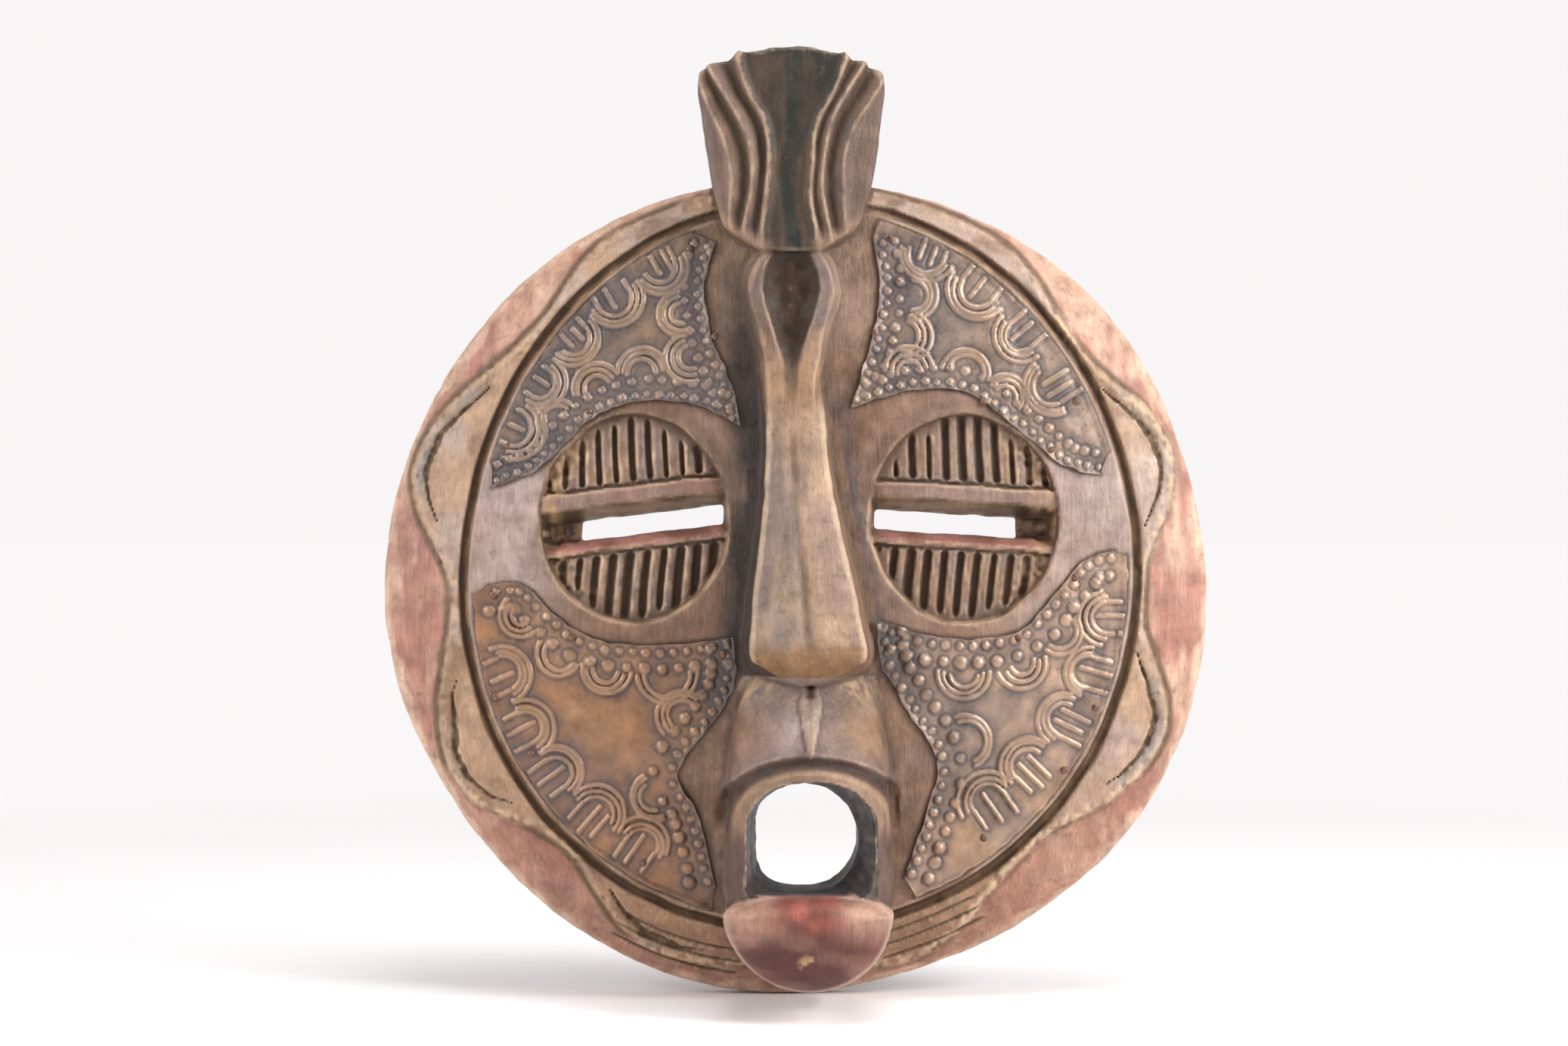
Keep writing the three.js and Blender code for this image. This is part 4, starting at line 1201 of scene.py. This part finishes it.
class Nodes:
    """A small helper that builds one material's node tree."""

    def __init__(self, name):
        self.material = bpy.data.materials.new(name)
        self.material.use_nodes = True
        self.tree = self.material.node_tree
        self.shader = self.tree.nodes["Principled BSDF"]
        self.place = self.node("ShaderNodeTexCoord").outputs["Object"]

    def node(self, kind, **settings):
        made = self.tree.nodes.new(kind)
        for name, value in settings.items():
            setattr(made, name, value)
        return made

    def link(self, source, socket):
        self.tree.links.new(source, socket)

    def feed(self, socket, value):
        if isinstance(value, bpy.types.NodeSocket):
            self.link(value, socket)
        else:
            socket.default_value = value

    def attribute(self, name, output="Fac"):
        return self.node("ShaderNodeAttribute", attribute_name=name).outputs[output]

    def noise(self, size, detail=4.0, roughness=0.6, stretch=(1, 1, 1)):
        """Noise that changes over about size millimetres, longer along the axes with a larger stretch."""
        mapping = self.node("ShaderNodeMapping")
        mapping.inputs["Scale"].default_value = [1 / axis for axis in stretch]
        self.link(self.place, mapping.inputs["Vector"])
        texture = self.node("ShaderNodeTexNoise")
        texture.inputs["Scale"].default_value = 1 / (size * METRE)
        texture.inputs["Detail"].default_value = detail
        texture.inputs["Roughness"].default_value = roughness
        self.link(mapping.outputs["Vector"], texture.inputs["Vector"])
        return texture.outputs["Fac"]

    def maths(self, operation, *values, clamp=False):
        made = self.node("ShaderNodeMath", operation=operation, use_clamp=clamp)
        for socket, value in zip(made.inputs, values):
            self.feed(socket, value)
        return made.outputs[0]

    def spread(self, value, low, high, to_low=0.0, to_high=1.0):
        made = self.node("ShaderNodeMapRange")
        for name, setting in (("Value", value), ("From Min", low), ("From Max", high),
                              ("To Min", to_low), ("To Max", to_high)):
            self.feed(made.inputs[name], setting)
        return made.outputs[0]

    def mix(self, share, first, second, blend="MIX"):
        made = self.node("ShaderNodeMix", data_type="RGBA", blend_type=blend)
        self.feed(made.inputs[0], share)
        for socket, colour in ((made.inputs[6], first), (made.inputs[7], second)):
            if isinstance(colour, tuple):
                colour = (*colour, 1.0)
            self.feed(socket, colour)
        return made.outputs[2]

    def tint(self, colour, pattern, dark, bright):
        """Multiplies a colour by dark where a pattern is low and by bright where it is high."""
        return self.mix(1.0, colour, self.mix(self.spread(pattern, 0.30, 0.70), dark, bright), "MULTIPLY")

    def cover(self, colour, target, most, *shares):
        """Moves a colour towards a target, by most where all the shares are 1."""
        share = shares[0]
        for other in shares[1:]:
            share = self.maths("MULTIPLY", share, other)
        return self.mix(self.maths("MULTIPLY", share, most), colour, target)

    def give(self, name, value):
        self.feed(self.shader.inputs[name], value)

    def bump(self, height, strength, distance):
        made = self.node("ShaderNodeBump")
        made.inputs["Strength"].default_value = strength
        made.inputs["Distance"].default_value = distance * METRE
        self.link(height, made.inputs["Height"])
        self.link(made.outputs["Normal"], self.shader.inputs["Normal"])


def wood_material():
    """Stained and painted carving wood: vertical grain, worn edges, and painted shade in the cuts."""
    nodes = Nodes("painted_wood")
    grain = nodes.noise(1.5, 5.0, 0.65, (1, 1, 9))
    cloud = nodes.noise(11.0, 4.0, 0.6)
    speck = nodes.noise(1.2, 3.0, 0.7)
    blotch = nodes.noise(4.5, 4.0, 0.6)
    colour = nodes.tint(nodes.attribute("paint", "Color"), grain, (0.80, 0.78, 0.76), (1.17, 1.16, 1.15))
    colour = nodes.tint(colour, cloud, (0.72, 0.69, 0.67), (1.22, 1.21, 1.20))
    colour = nodes.mix(nodes.spread(blotch, 0.56, 0.74, 0.0, 0.45), colour, (0.085, 0.052, 0.034))
    colour = nodes.cover(colour, (0.05, 0.03, 0.02), 0.6, nodes.spread(speck, 0.33, 0.26))
    # Painted shade: darker in the cuts and hollows, by the cavity value.
    cuts = nodes.spread(nodes.attribute("cavity"), 0.08, 0.60)
    cut_shade = nodes.maths("MULTIPLY", cuts, nodes.spread(cloud, 0.25, 0.6, 0.5, 1.0))
    colour = nodes.cover(colour, (0.050, 0.029, 0.017), 0.75, cut_shade)
    edges = nodes.spread(nodes.attribute("edge"), 0.28, 0.80)
    patchy = nodes.spread(blotch, 0.36, 0.58, 0.15, 1.0)
    colour = nodes.cover(colour, (0.44, 0.31, 0.205), 0.62, edges, patchy)
    nodes.give("Base Color", colour)
    polish = nodes.spread(cloud, 0.3, 0.7, 0.38, 0.58)
    nodes.give("Roughness", nodes.maths("ADD", polish, nodes.spread(cut_shade, 0, 1, 0.0, 0.25)))
    nodes.give("Specular IOR Level", 0.34)
    nodes.bump(nodes.maths("ADD", grain, nodes.maths("MULTIPLY", speck, 0.9)), 0.75, 0.45)
    return nodes.material


def sheet_material():
    """Thin embossed metal: bronze with rubbed ridges, a painted glint along its edges, and a dark blue-grey
    patina in its hollows.
    """
    nodes = Nodes("embossed_sheet")
    cloud = nodes.noise(14.0, 5.0, 0.65)
    fine = nodes.noise(1.7, 4.0, 0.65)
    scratch = nodes.noise(0.7, 3.0, 0.6, (8, 8, 1))
    colour = nodes.tint(nodes.attribute("paint", "Color"), cloud, (0.66, 0.66, 0.68), (1.25, 1.20, 1.12))
    patina = nodes.spread(nodes.attribute("near"), 0.05, 0.75)
    uneven = nodes.spread(cloud, 0.28, 0.60, 1.0, 0.6)
    colour = nodes.cover(colour, (0.064, 0.062, 0.070), 0.9, patina, uneven)
    colour = nodes.cover(colour, (0.05, 0.036, 0.028), 0.5, nodes.spread(fine, 0.42, 0.28))
    # The raised value holds the rubbed ridges and the painted glint along the sheets' edges.
    ridges = nodes.spread(nodes.attribute("raised"), 0.25, 0.9)
    colour = nodes.cover(colour, (0.36, 0.245, 0.165), 0.6, ridges, nodes.spread(cloud, 0.3, 0.6, 0.45, 1.0))
    nodes.give("Base Color", colour)
    nodes.give("Metallic", 0.5)
    nodes.give("Roughness", nodes.spread(fine, 0.3, 0.7, 0.34, 0.55))
    nodes.bump(nodes.maths("ADD", fine, nodes.maths("MULTIPLY", scratch, 0.6)), 0.4, 0.22)
    return nodes.material


def metal_material(name, bright, dark, metallic, low, high):
    """Plain wire or nail metal with tarnish and fine scratches."""
    nodes = Nodes(name)
    cloud = nodes.noise(2.2, 5.0, 0.65)
    scratch = nodes.noise(0.5, 3.0, 0.6, (1, 1, 6))
    colour = nodes.mix(nodes.spread(cloud, 0.35, 0.65), dark, bright)
    nodes.give("Base Color", colour)
    nodes.give("Metallic", metallic)
    nodes.give("Roughness", nodes.spread(cloud, 0.3, 0.7, high, low))
    nodes.bump(scratch, 0.3, 0.1)
    return nodes.material


# ---------------------------------------------------------------- pieces

def make_body():
    points, quads = carve()
    thing = mesh_object("carved_wood", to_metres(*points[:, [0, 1]].T, points[:, 2]), quads)
    x, z, h = from_metres(vertices_of(thing))
    r, a = polar(x, z)
    hidden = ((h < ceiling_of_hollow(x, z) + 2.0) & (r < outline_radius(a) - 12)) | (h < 1.5)
    hidden = hidden & (mouth_distance(x, z) > 3)
    thin_out(thing, hidden, HIDDEN_SHARE)
    thing.data.shade_smooth()
    x, z, h = from_metres(vertices_of(thing))
    add_colour(thing, "paint", paint_wood(x, z, h))
    fine, broad = bulge(thing, FINE_REACH), bulge(thing, BROAD_REACH)
    in_mouth = (mouth_distance(x, z) < -0.5) & (z > MOUTH_BOTTOM - 6) & (h < 104)
    add_value(thing, "edge", (1.3 * fine + 0.3 * broad) * ~in_mouth)
    # The cavity value drives the painted shade in the cuts.
    add_value(thing, "cavity", -1.1 * fine - 0.45 * broad)
    thing.data.materials.append(wood_material())
    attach(thing, "mask")
    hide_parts("carved_body")


# ---------------------------------------------------------------- embossed sheets

def spline(points, spacing):
    """Evenly spaced points along a Catmull-Rom curve through the given points."""
    points = np.array(points, float)
    padded = np.vstack((points[0], points, points[-1]))
    dense = []
    for p0, p1, p2, p3 in zip(padded, padded[1:], padded[2:], padded[3:]):
        t = np.linspace(0, 1, 40, endpoint=False)[:, None]
        dense.append(0.5 * (2 * p1 + (p2 - p0) * t + (2 * p0 - 5 * p1 + 4 * p2 - p3) * t**2
                            + (3 * p1 - p0 - 3 * p2 + p3) * t**3))
    return spaced(np.vstack(dense + [points[-1:]]), spacing)


def spaced(line, spacing):
    """The same line with its points a given distance apart."""
    lengths = np.concatenate(([0], np.cumsum(np.linalg.norm(np.diff(line, axis=0), axis=1))))
    count = max(2, int(round(lengths[-1] / spacing)) + 1)
    marks = np.linspace(0, lengths[-1], count)
    return np.column_stack([np.interp(marks, lengths, line[:, axis]) for axis in (0, 1)])


def arc_points(low, high, inset, spacing):
    a = np.radians(np.linspace(low, high, 400))
    r = groove_radius(a) - inset
    return spaced(np.column_stack((DISC_X + r * np.cos(a), r * np.sin(a))), spacing)


def sheet_outline(sheet, spacing):
    """The sheet's three sides, each a run of points, in order round the sheet."""
    return [arc_points(*sheet["arc"], PANEL_MARGIN, spacing), spline(sheet["nose"], spacing),
            spline(sheet["eye"], spacing)]


def inside_outline(points, loop):
    x, z = points.T
    inside = np.zeros(len(points), bool)
    for (x1, z1), (x2, z2) in zip(loop, np.roll(loop, -1, axis=0)):
        if z1 == z2:
            continue
        crosses = (z1 > z) != (z2 > z)
        inside ^= crosses & (x < (x2 - x1) * (z - z1) / (z2 - z1) + x1)
    return inside


def distance_to(points, targets):
    """Distance from each point to the nearest of the target points."""
    nearest = np.full(len(points), np.inf)
    for start in range(0, len(targets), TARGET_GROUP):
        group = targets[start:start + TARGET_GROUP]
        gaps = np.hypot(points[:, :1] - group[:, 0], points[:, 1:] - group[:, 1])
        nearest = np.minimum(nearest, gaps.min(axis=1))
    return nearest


def square_to(along):
    """Unit vectors a quarter turn to the left of each direction."""
    return np.column_stack((-along[:, 1], along[:, 0])) / np.linalg.norm(along, axis=1)[:, None]


def inward(line, loop):
    """Unit vectors square to a run of the outline that point into the sheet."""
    square = square_to(np.gradient(line, axis=0))
    test = line + 3 * square
    middle = len(line) // 2
    return square if inside_outline(test[middle:middle + 1], loop)[0] else -square


class Embossing:
    """The raised pattern of one sheet, over its points in x and z."""

    def __init__(self, points, seed):
        self.points = points
        self.raised = np.zeros(len(points))
        self.rubbed = np.zeros(len(points))
        self.near = np.zeros(len(points))
        self.ring = np.zeros(len(points))
        self.random = np.random.default_rng(seed)

    def press(self, distance, half_width, height=1.0):
        self.raised = np.maximum(self.raised, height * hump(distance, half_width))
        self.rubbed = np.maximum(self.rubbed, hump(distance, half_width))
        self.near = np.maximum(self.near, hump(distance, half_width + PATINA_REACH))
        self.ring = np.maximum(self.ring, hump(distance - half_width - RING_GAP, 0.8))

    def dot(self, centre, radius):
        centre = centre + self.random.uniform(-0.5, 0.5, 2)
        radius = radius * self.random.uniform(0.85, 1.15)
        away = np.hypot(*(self.points - centre).T)
        share = np.clip(away / radius, 0, 1)
        dome = radius * self.random.uniform(0.42, 0.60) * (1 - share**2) ** 0.8
        self.raised = np.maximum(self.raised, dome)
        self.rubbed = np.maximum(self.rubbed, 0.75 * (1 - share**2))
        self.near = np.maximum(self.near, hump(away, radius + PATINA_REACH))
        self.ring = np.maximum(self.ring, hump(away - radius - RING_GAP, 1.1))

    def scallop(self, centre, opening, radii):
        """Concentric arcs that bulge away from the opening."""
        for size in radii:
            away = self.points - centre - self.random.uniform(-0.55, 0.55, 2)
            radius = np.hypot(*away.T)
            turn = np.degrees(np.arccos(np.clip(-(away @ opening) / np.maximum(radius, 1e-6), -1, 1)))
            size = size * self.random.uniform(0.95, 1.05)
            along = np.maximum(0, turn - ARC_REACH + self.random.uniform(0, 14)) / DEGREES_PER_RADIAN * size
            self.press(np.hypot(radius - size, along), RIDGE_HALF, self.random.uniform(0.85, 1.2))

    def bar(self, start, end):
        line = end - start
        t = np.clip((self.points - start) @ line / (line @ line), 0, 1)
        away = np.hypot(*(self.points - start - t[:, None] * line).T)
        self.press(away, RIDGE_HALF, 0.9)


def emboss_side(pattern, line, loop, rows, scallops):
    """Two rows of dots along a side, and the scallops that enclose them."""
    into = inward(line, loop)
    for spacing, inset, radius in rows:
        step = int(round(spacing / SHEET_STEP))
        for place, square in zip(line[step // 2::step], into[step // 2::step]):
            centre = place + inset * square
            if inside_outline(centre[None], loop)[0]:
                pattern.dot(centre, radius)
    for share, inset, radius in scallops:
        i = int(share * (len(line) - 1))
        radii = (radius, radius - SCALLOP_STEP, radius - 2 * SCALLOP_STEP)
        pattern.scallop(line[i] + inset * into[i], -into[i], radii[:pattern.random.integers(2, 4)])


def heading(a):
    return np.array((math.cos(a), math.sin(a)))


def emboss_combs(pattern, combs):
    """Arcs along the rim that open outwards, with bars that run out to the sheet's edge like a comb."""
    first, last, count, first_inset, last_inset = combs
    for degrees, inset in zip(np.linspace(first, last, count), np.linspace(first_inset, last_inset, count)):
        a = math.radians(degrees)
        foot = np.array((DISC_X, 0)) + (groove_radius(a) - inset) * heading(a)
        a += pattern.random.uniform(-0.14, 0.14)
        out = heading(a)
        along = np.array((-out[1], out[0]))
        centre = foot + pattern.random.uniform(-1.2, 1.2) * along
        size = pattern.random.uniform(0.88, 1.06)
        pattern.scallop(centre, out, [radius * size for radius in COMB_RADII])
        reach = min(inset - PANEL_MARGIN - 1.5, 12)
        leg = COMB_RADII[0] * size
        middle = pattern.random.uniform(-2, 2)
        bars = [(-leg, 0), (leg, 0), (middle, -4.5)]
        if pattern.random.random() < 0.35:
            bars = [(-leg, 0), (middle - 2.5, -4), (middle + 3.5, -3)]
        for offset, start in bars:
            place = centre + offset * along
            pattern.bar(place + start * out, place + (reach + pattern.random.uniform(-2.5, 0.5)) * out)


def emboss(name, points, sheet, sides, loop):
    _, nose_side, eye_side = sides
    pattern = Embossing(points, sheet["seed"])
    rows = DOT_ROWS[name.split("_")[0]]
    emboss_side(pattern, nose_side, loop, rows, sheet["nose_scallops"])
    emboss_side(pattern, eye_side, loop, rows, sheet["eye_scallops"])
    emboss_combs(pattern, sheet["combs"])
    return pattern


def ragged_border(loop, seed):
    """The sheet's outline with the uneven edge of hand shears."""
    ragged = 0.4 * noise(loop[:, 0], loop[:, 1], 4.5, seed)
    along = np.roll(loop, -1, axis=0) - np.roll(loop, 1, axis=0)
    return loop + square_to(along) * ragged[:, None]


def staggered_grid(low, high):
    """Points in staggered rows that fill a box."""
    rows = []
    for number, up in enumerate(np.arange(low[1], high[1], SHEET_STEP * 0.87)):
        across = np.arange(low[0] + (number % 2) * SHEET_STEP / 2, high[0], SHEET_STEP)
        rows.append(np.column_stack((across, np.full(len(across), up))))
    return np.vstack(rows)


def fill(border):
    """Points on and inside a border, and the triangles between them, all turned the same way."""
    grid = staggered_grid(border.min(axis=0), border.max(axis=0))
    grid = grid[inside_outline(grid, border)]
    grid = grid[distance_to(grid, border) > 0.6 * SHEET_STEP]
    count = len(border)
    edges = [(i, (i + 1) % count) for i in range(count)]
    flat = [Vector(point) for point in np.vstack((border, grid))]
    points, _, faces, *_ = delaunay_2d_cdt(flat, edges, [], 1, 1e-5)
    points, faces = np.array(points), np.array(faces)
    a, b, c = (points[faces[:, i]] for i in range(3))
    turn = (b[:, 0] - a[:, 0]) * (c[:, 1] - a[:, 1]) - (b[:, 1] - a[:, 1]) * (c[:, 0] - a[:, 0])
    faces[turn < 0] = faces[turn < 0][:, ::-1]
    return points, faces


def thickened(faces, count):
    """A sheet's front triangles, the same for its back (count points on), and walls round its edge."""
    directed = np.vstack((faces[:, [0, 1]], faces[:, [1, 2]], faces[:, [2, 0]]))
    _, first, times = np.unique(np.sort(directed, axis=1), axis=0, return_index=True, return_counts=True)
    front = [tuple(face) for face in faces]
    back = [tuple(face[::-1] + count) for face in faces]
    walls = [(b, a, a + count, b + count) for a, b in directed[first[times == 1]]]
    return front + back + walls


def sheet_tone(x, z, sheet):
    """The sheet's own colour, with warmer and greyer clouds, dark beside the nose."""
    warm = 0.6 * ramp(0.0, 0.7, rough(x, z, 24, sheet["seed"] + 8))
    grey = 0.35 * ramp(0.1, 0.8, rough(x, z, 30, sheet["seed"] + 9))
    near_nose = ramp(62, 34, np.abs(x - 2)) * ramp(20, -10, z)
    tone = mix(sheet["colour"], (0.340, 0.215, 0.125), warm)
    tone = mix(tone, (0.125, 0.115, 0.118), grey)
    return mix(tone, (0.055, 0.058, 0.052), 0.75 * near_nose)


def make_sheet(name, sheet):
    seed = sheet["seed"]
    sides = sheet_outline(sheet, SHEET_STEP)
    loop = np.vstack([side[:-1] for side in sides])
    border = ragged_border(loop, seed + 5)
    points, faces = fill(border)
    pattern = emboss(name, points, sheet, sides, loop)
    x, z = points.T
    edge = distance_to(points, border[::2])
    curl = hump(edge, 2.8) * (0.45 + 0.8 * np.maximum(0, noise(x, z, 9, seed + 6)))
    beaten = 0.30 * noise(x, z, 7, seed + 7)
    worn = 0.85 + 0.30 * noise(x, z, 9, seed + 10)
    sunk = 0.2 * pattern.ring * (pattern.raised < 0.15)
    lift = SHEET_LIFT + SHEET + RELIEF_LIFT
    top = front_of_disc(x, z) + lift + pattern.raised * worn + curl + beaten - sunk
    solid = np.vstack((to_metres(x, z, top), to_metres(x, z, top - SHEET)))
    thing = mesh_object("sheet_" + name, solid, thickened(faces, len(points)))
    thing.data.set_sharp_from_angle(angle=math.radians(50))
    # Painted glint along the sheet's lifted edge, added to its rubbed ridges.
    rubbed = np.maximum(pattern.rubbed, 0.9 * hump(edge, 0.9))
    dark = 0.60 * pattern.near + 0.45 * pattern.ring - 1.2 * pattern.rubbed
    add_colour(thing, "paint", np.tile(sheet_tone(x, z, sheet), (2, 1)))
    add_value(thing, "raised", np.tile(rubbed, 2))
    add_value(thing, "near", np.tile(np.clip(dark, 0, 1), 2))
    thing.data.materials.append(SHEET_METAL)
    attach(thing, "mask")
    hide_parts("panel_" + name)


# ---------------------------------------------------------------- tacks and hanger

def join_rings(rings, sides):
    """Faces that join rings of points one after another and close both ends."""
    faces = []
    for ring in range(rings - 1):
        here, beyond = ring * sides, (ring + 1) * sides
        for i in range(sides):
            j = (i + 1) % sides
            faces.append((here + i, here + j, beyond + j, beyond + i))
    faces.append(tuple(reversed(range(sides))))
    faces.append(tuple(range((rings - 1) * sides, rings * sides)))
    return faces


def revolve(profile, sides):
    """Rings of points (radius, height) about the height axis."""
    points = []
    for radius, height in profile:
        for i in range(sides):
            a = 2 * math.pi * i / sides
            points.append((radius * math.cos(a), radius * math.sin(a), height))
    return np.array(points)


def make_tack(name, x, z, seed):
    """A hand-driven tack: a slightly lopsided domed head over a tapered shank."""
    random = np.random.default_rng(seed)
    profile = [(0.08, -TACK_LENGTH), (TACK_SHANK, 2 - TACK_LENGTH), (TACK_SHANK, -0.05), (TACK_RADIUS, 0.0)]
    profile += [(TACK_RADIUS * math.cos(t), TACK_HEIGHT * (0.12 + 0.88 * math.sin(t)))
                for t in np.radians((6, 22, 40, 58, 76, 87))]
    local = revolve(profile, TACK_SIDES)
    head = local[:, 2] > -0.01
    lump = random.uniform(-0.12, 0.12, 3)
    swell = 1 + lump[0] * np.cos(np.arctan2(local[:, 1], local[:, 0]) * 2 + lump[1] * 20)
    local[head, :2] *= swell[head, None]
    step = 0.5
    slope_x = (dome_height(x + step, z) - dome_height(x - step, z)) / (2 * step)
    slope_z = (dome_height(x, z + step) - dome_height(x, z - step)) / (2 * step)
    out = Vector((-slope_x, -slope_z, 1)).normalized()
    turn = np.array(Vector((0, 0, 1)).rotation_difference(out).to_matrix())
    seat = float(front_of_disc(np.array([x]), np.array([z]))[0]) + SHEET_LIFT + SHEET + 0.35
    placed = local @ turn.T
    points = to_metres(x + placed[:, 0], z + placed[:, 1], seat + placed[:, 2])
    faces = join_rings(len(profile), TACK_SIDES)
    thing = mesh_object(name.replace("tack", "nail"), points, faces)
    thing.data.set_sharp_from_angle(angle=math.radians(60))
    thing.data.materials.append(TACK_METAL)
    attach(thing, "mask")
    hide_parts(name)


def tube(name, path, radius):
    """Round wire along a list of points, with flat ends."""
    path = np.array(path, float)
    along = np.gradient(path, axis=0)
    along /= np.linalg.norm(along, axis=1)[:, None]
    side = np.cross(along[0], (1.0, 0.1, 0.2))
    points = []
    for place, direction in zip(path, along):
        side = side - direction * (side @ direction)
        side /= np.linalg.norm(side)
        up = np.cross(direction, side)
        for i in range(WIRE_SIDES):
            a = 2 * math.pi * i / WIRE_SIDES
            points.append(place + radius * (math.cos(a) * side + math.sin(a) * up))
    thing = mesh_object(name, np.array(points), join_rings(len(path), WIRE_SIDES))
    thing.data.set_sharp_from_angle(angle=math.radians(60))
    return thing


def make_ring():
    """The hanging ring: bent wire whose ends nearly meet at the bottom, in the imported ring's place."""
    low, high = (np.array(corner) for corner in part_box("hanging_ring"))
    centre = (low + high) / 2
    wire = (high[1] - low[1]) / 2
    radius = (high[2] - low[2]) / 2 - wire
    gap = math.radians(2.2)
    path = [centre + radius * np.array((math.sin(a), 0, -math.cos(a)))
            for a in np.linspace(gap, 2 * math.pi - gap, 96)]
    thing = tube("wire_ring", path, wire)
    thing.data.materials.append(WIRE_METAL)
    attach(thing, "ring")
    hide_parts("hanging_ring")


def make_staple():
    low, high = (np.array(corner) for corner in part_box("hanger_staple"))
    wire = (high[0] - low[0]) / 2
    x = (low[0] + high[0]) / 2
    bottom, top = low[2] + wire, high[2] - wire
    inner, crown = low[1], high[1] - wire
    bend = STAPLE_BEND
    path = [(inner + (crown - bend - inner) * t, bottom) for t in np.linspace(0, 1, 12, endpoint=False)]
    path += [(crown - bend + bend * math.sin(a), bottom + bend - bend * math.cos(a))
             for a in np.linspace(0, math.pi / 2, 8)]
    path += [(crown - bend + bend * math.cos(a), top - bend + bend * math.sin(a))
             for a in np.linspace(0, math.pi / 2, 8)]
    path += [(crown - bend + (inner - crown + bend) * t, top) for t in np.linspace(0, 1, 12)[1:]]
    thing = tube("wire_staple", [(x, y, z) for y, z in path], wire)
    thing.data.materials.append(WIRE_METAL)
    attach(thing, "mask")
    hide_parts("hanger_staple")


# ---------------------------------------------------------------- studio

def make_camera():
    data = bpy.data.cameras.new("camera")
    data.lens = FOCAL_LENGTH
    data.sensor_width = SENSOR_WIDTH
    data.clip_end = 200
    camera = put_in_scene("camera", data)
    camera.location = (CAMERA_X, -CAMERA_DISTANCE, CAMERA_Z)
    camera.rotation_euler = (math.pi / 2, 0, 0)
    bpy.context.scene.camera = camera


def paper_material():
    """Pale paper that takes the object's shadow, and turns to an even glow further away."""
    nodes = Nodes("floor_paper")
    nodes.give("Roughness", 0.9)
    nodes.give("Specular IOR Level", 0.1)
    nodes.give("Emission Color", (*PAPER, 1))
    away = nodes.node("ShaderNodeVectorMath", operation="LENGTH")
    nodes.link(nodes.place, away.inputs[0])
    glow = nodes.spread(away.outputs["Value"], *PAPER_FADE)
    nodes.give("Base Color", nodes.mix(glow, PAPER, (0.0, 0.0, 0.0)))
    nodes.give("Emission Strength", glow)
    return nodes.material


def make_floor():
    level = cad_box[0][2] - FLOOR_GAP
    half = FLOOR_SIZE / 2
    corners = [(across * half, deep * half, level) for across, deep in ((-1, -1), (1, -1), (1, 1), (-1, 1))]
    floor = mesh_object("floor", np.array(corners), [(0, 1, 2, 3)], smooth=False)
    floor.data.materials.append(paper_material())


def softbox(name, place, size, power):
    data = bpy.data.lights.new(name, "AREA")
    data.shape = "RECTANGLE"
    data.size, data.size_y = size
    data.energy = power
    light = put_in_scene(name, data)
    light.location = place
    light.rotation_euler = (Vector(LIGHT_TARGET) - Vector(place)).to_track_quat("-Z", "Y").to_euler()


def make_world():
    """Even studio light, and a paler backdrop than that light alone would show."""
    world = bpy.data.worlds.new("studio")
    world.use_nodes = True
    bpy.context.scene.world = world
    tree = world.node_tree
    background = tree.nodes["Background"]
    background.inputs["Color"].default_value = (*PAPER, 1)
    seen = tree.nodes.new("ShaderNodeLightPath").outputs["Is Camera Ray"]
    brightness = tree.nodes.new("ShaderNodeMapRange")
    brightness.inputs["To Min"].default_value = AMBIENT
    brightness.inputs["To Max"].default_value = 1.0
    tree.links.new(seen, brightness.inputs["Value"])
    tree.links.new(brightness.outputs[0], background.inputs["Strength"])


def make_studio():
    bpy.context.scene.view_settings.view_transform = "Standard"
    make_camera()
    make_floor()
    make_world()
    softbox("softbox_left", (-1.3, -0.55, 0.25), (0.6, 1.0), 15)
    softbox("softbox_right", (1.3, -0.65, 0.35), (0.6, 1.0), 31)
    softbox("softbox_top", (0.2, -0.35, 1.3), (1.0, 0.6), 14)


make_studio()
SHEET_METAL = sheet_material()
TACK_METAL = metal_material("tack_metal", (0.22, 0.12, 0.08), (0.07, 0.035, 0.022), 0.5, 0.35, 0.6)
WIRE_METAL = metal_material("wire_metal", (0.50, 0.49, 0.47), (0.20, 0.15, 0.11), 0.9, 0.28, 0.5)
make_body()
for sheet_name, sheet_plan in SHEETS.items():
    make_sheet(sheet_name, sheet_plan)
    for number, (tack_x, tack_z) in enumerate(sheet_plan["tacks"], 1):
        make_tack(f"tack_{sheet_name}_{number}", tack_x, tack_z, sheet_plan["seed"] + 20 + number)
make_staple()
make_ring()
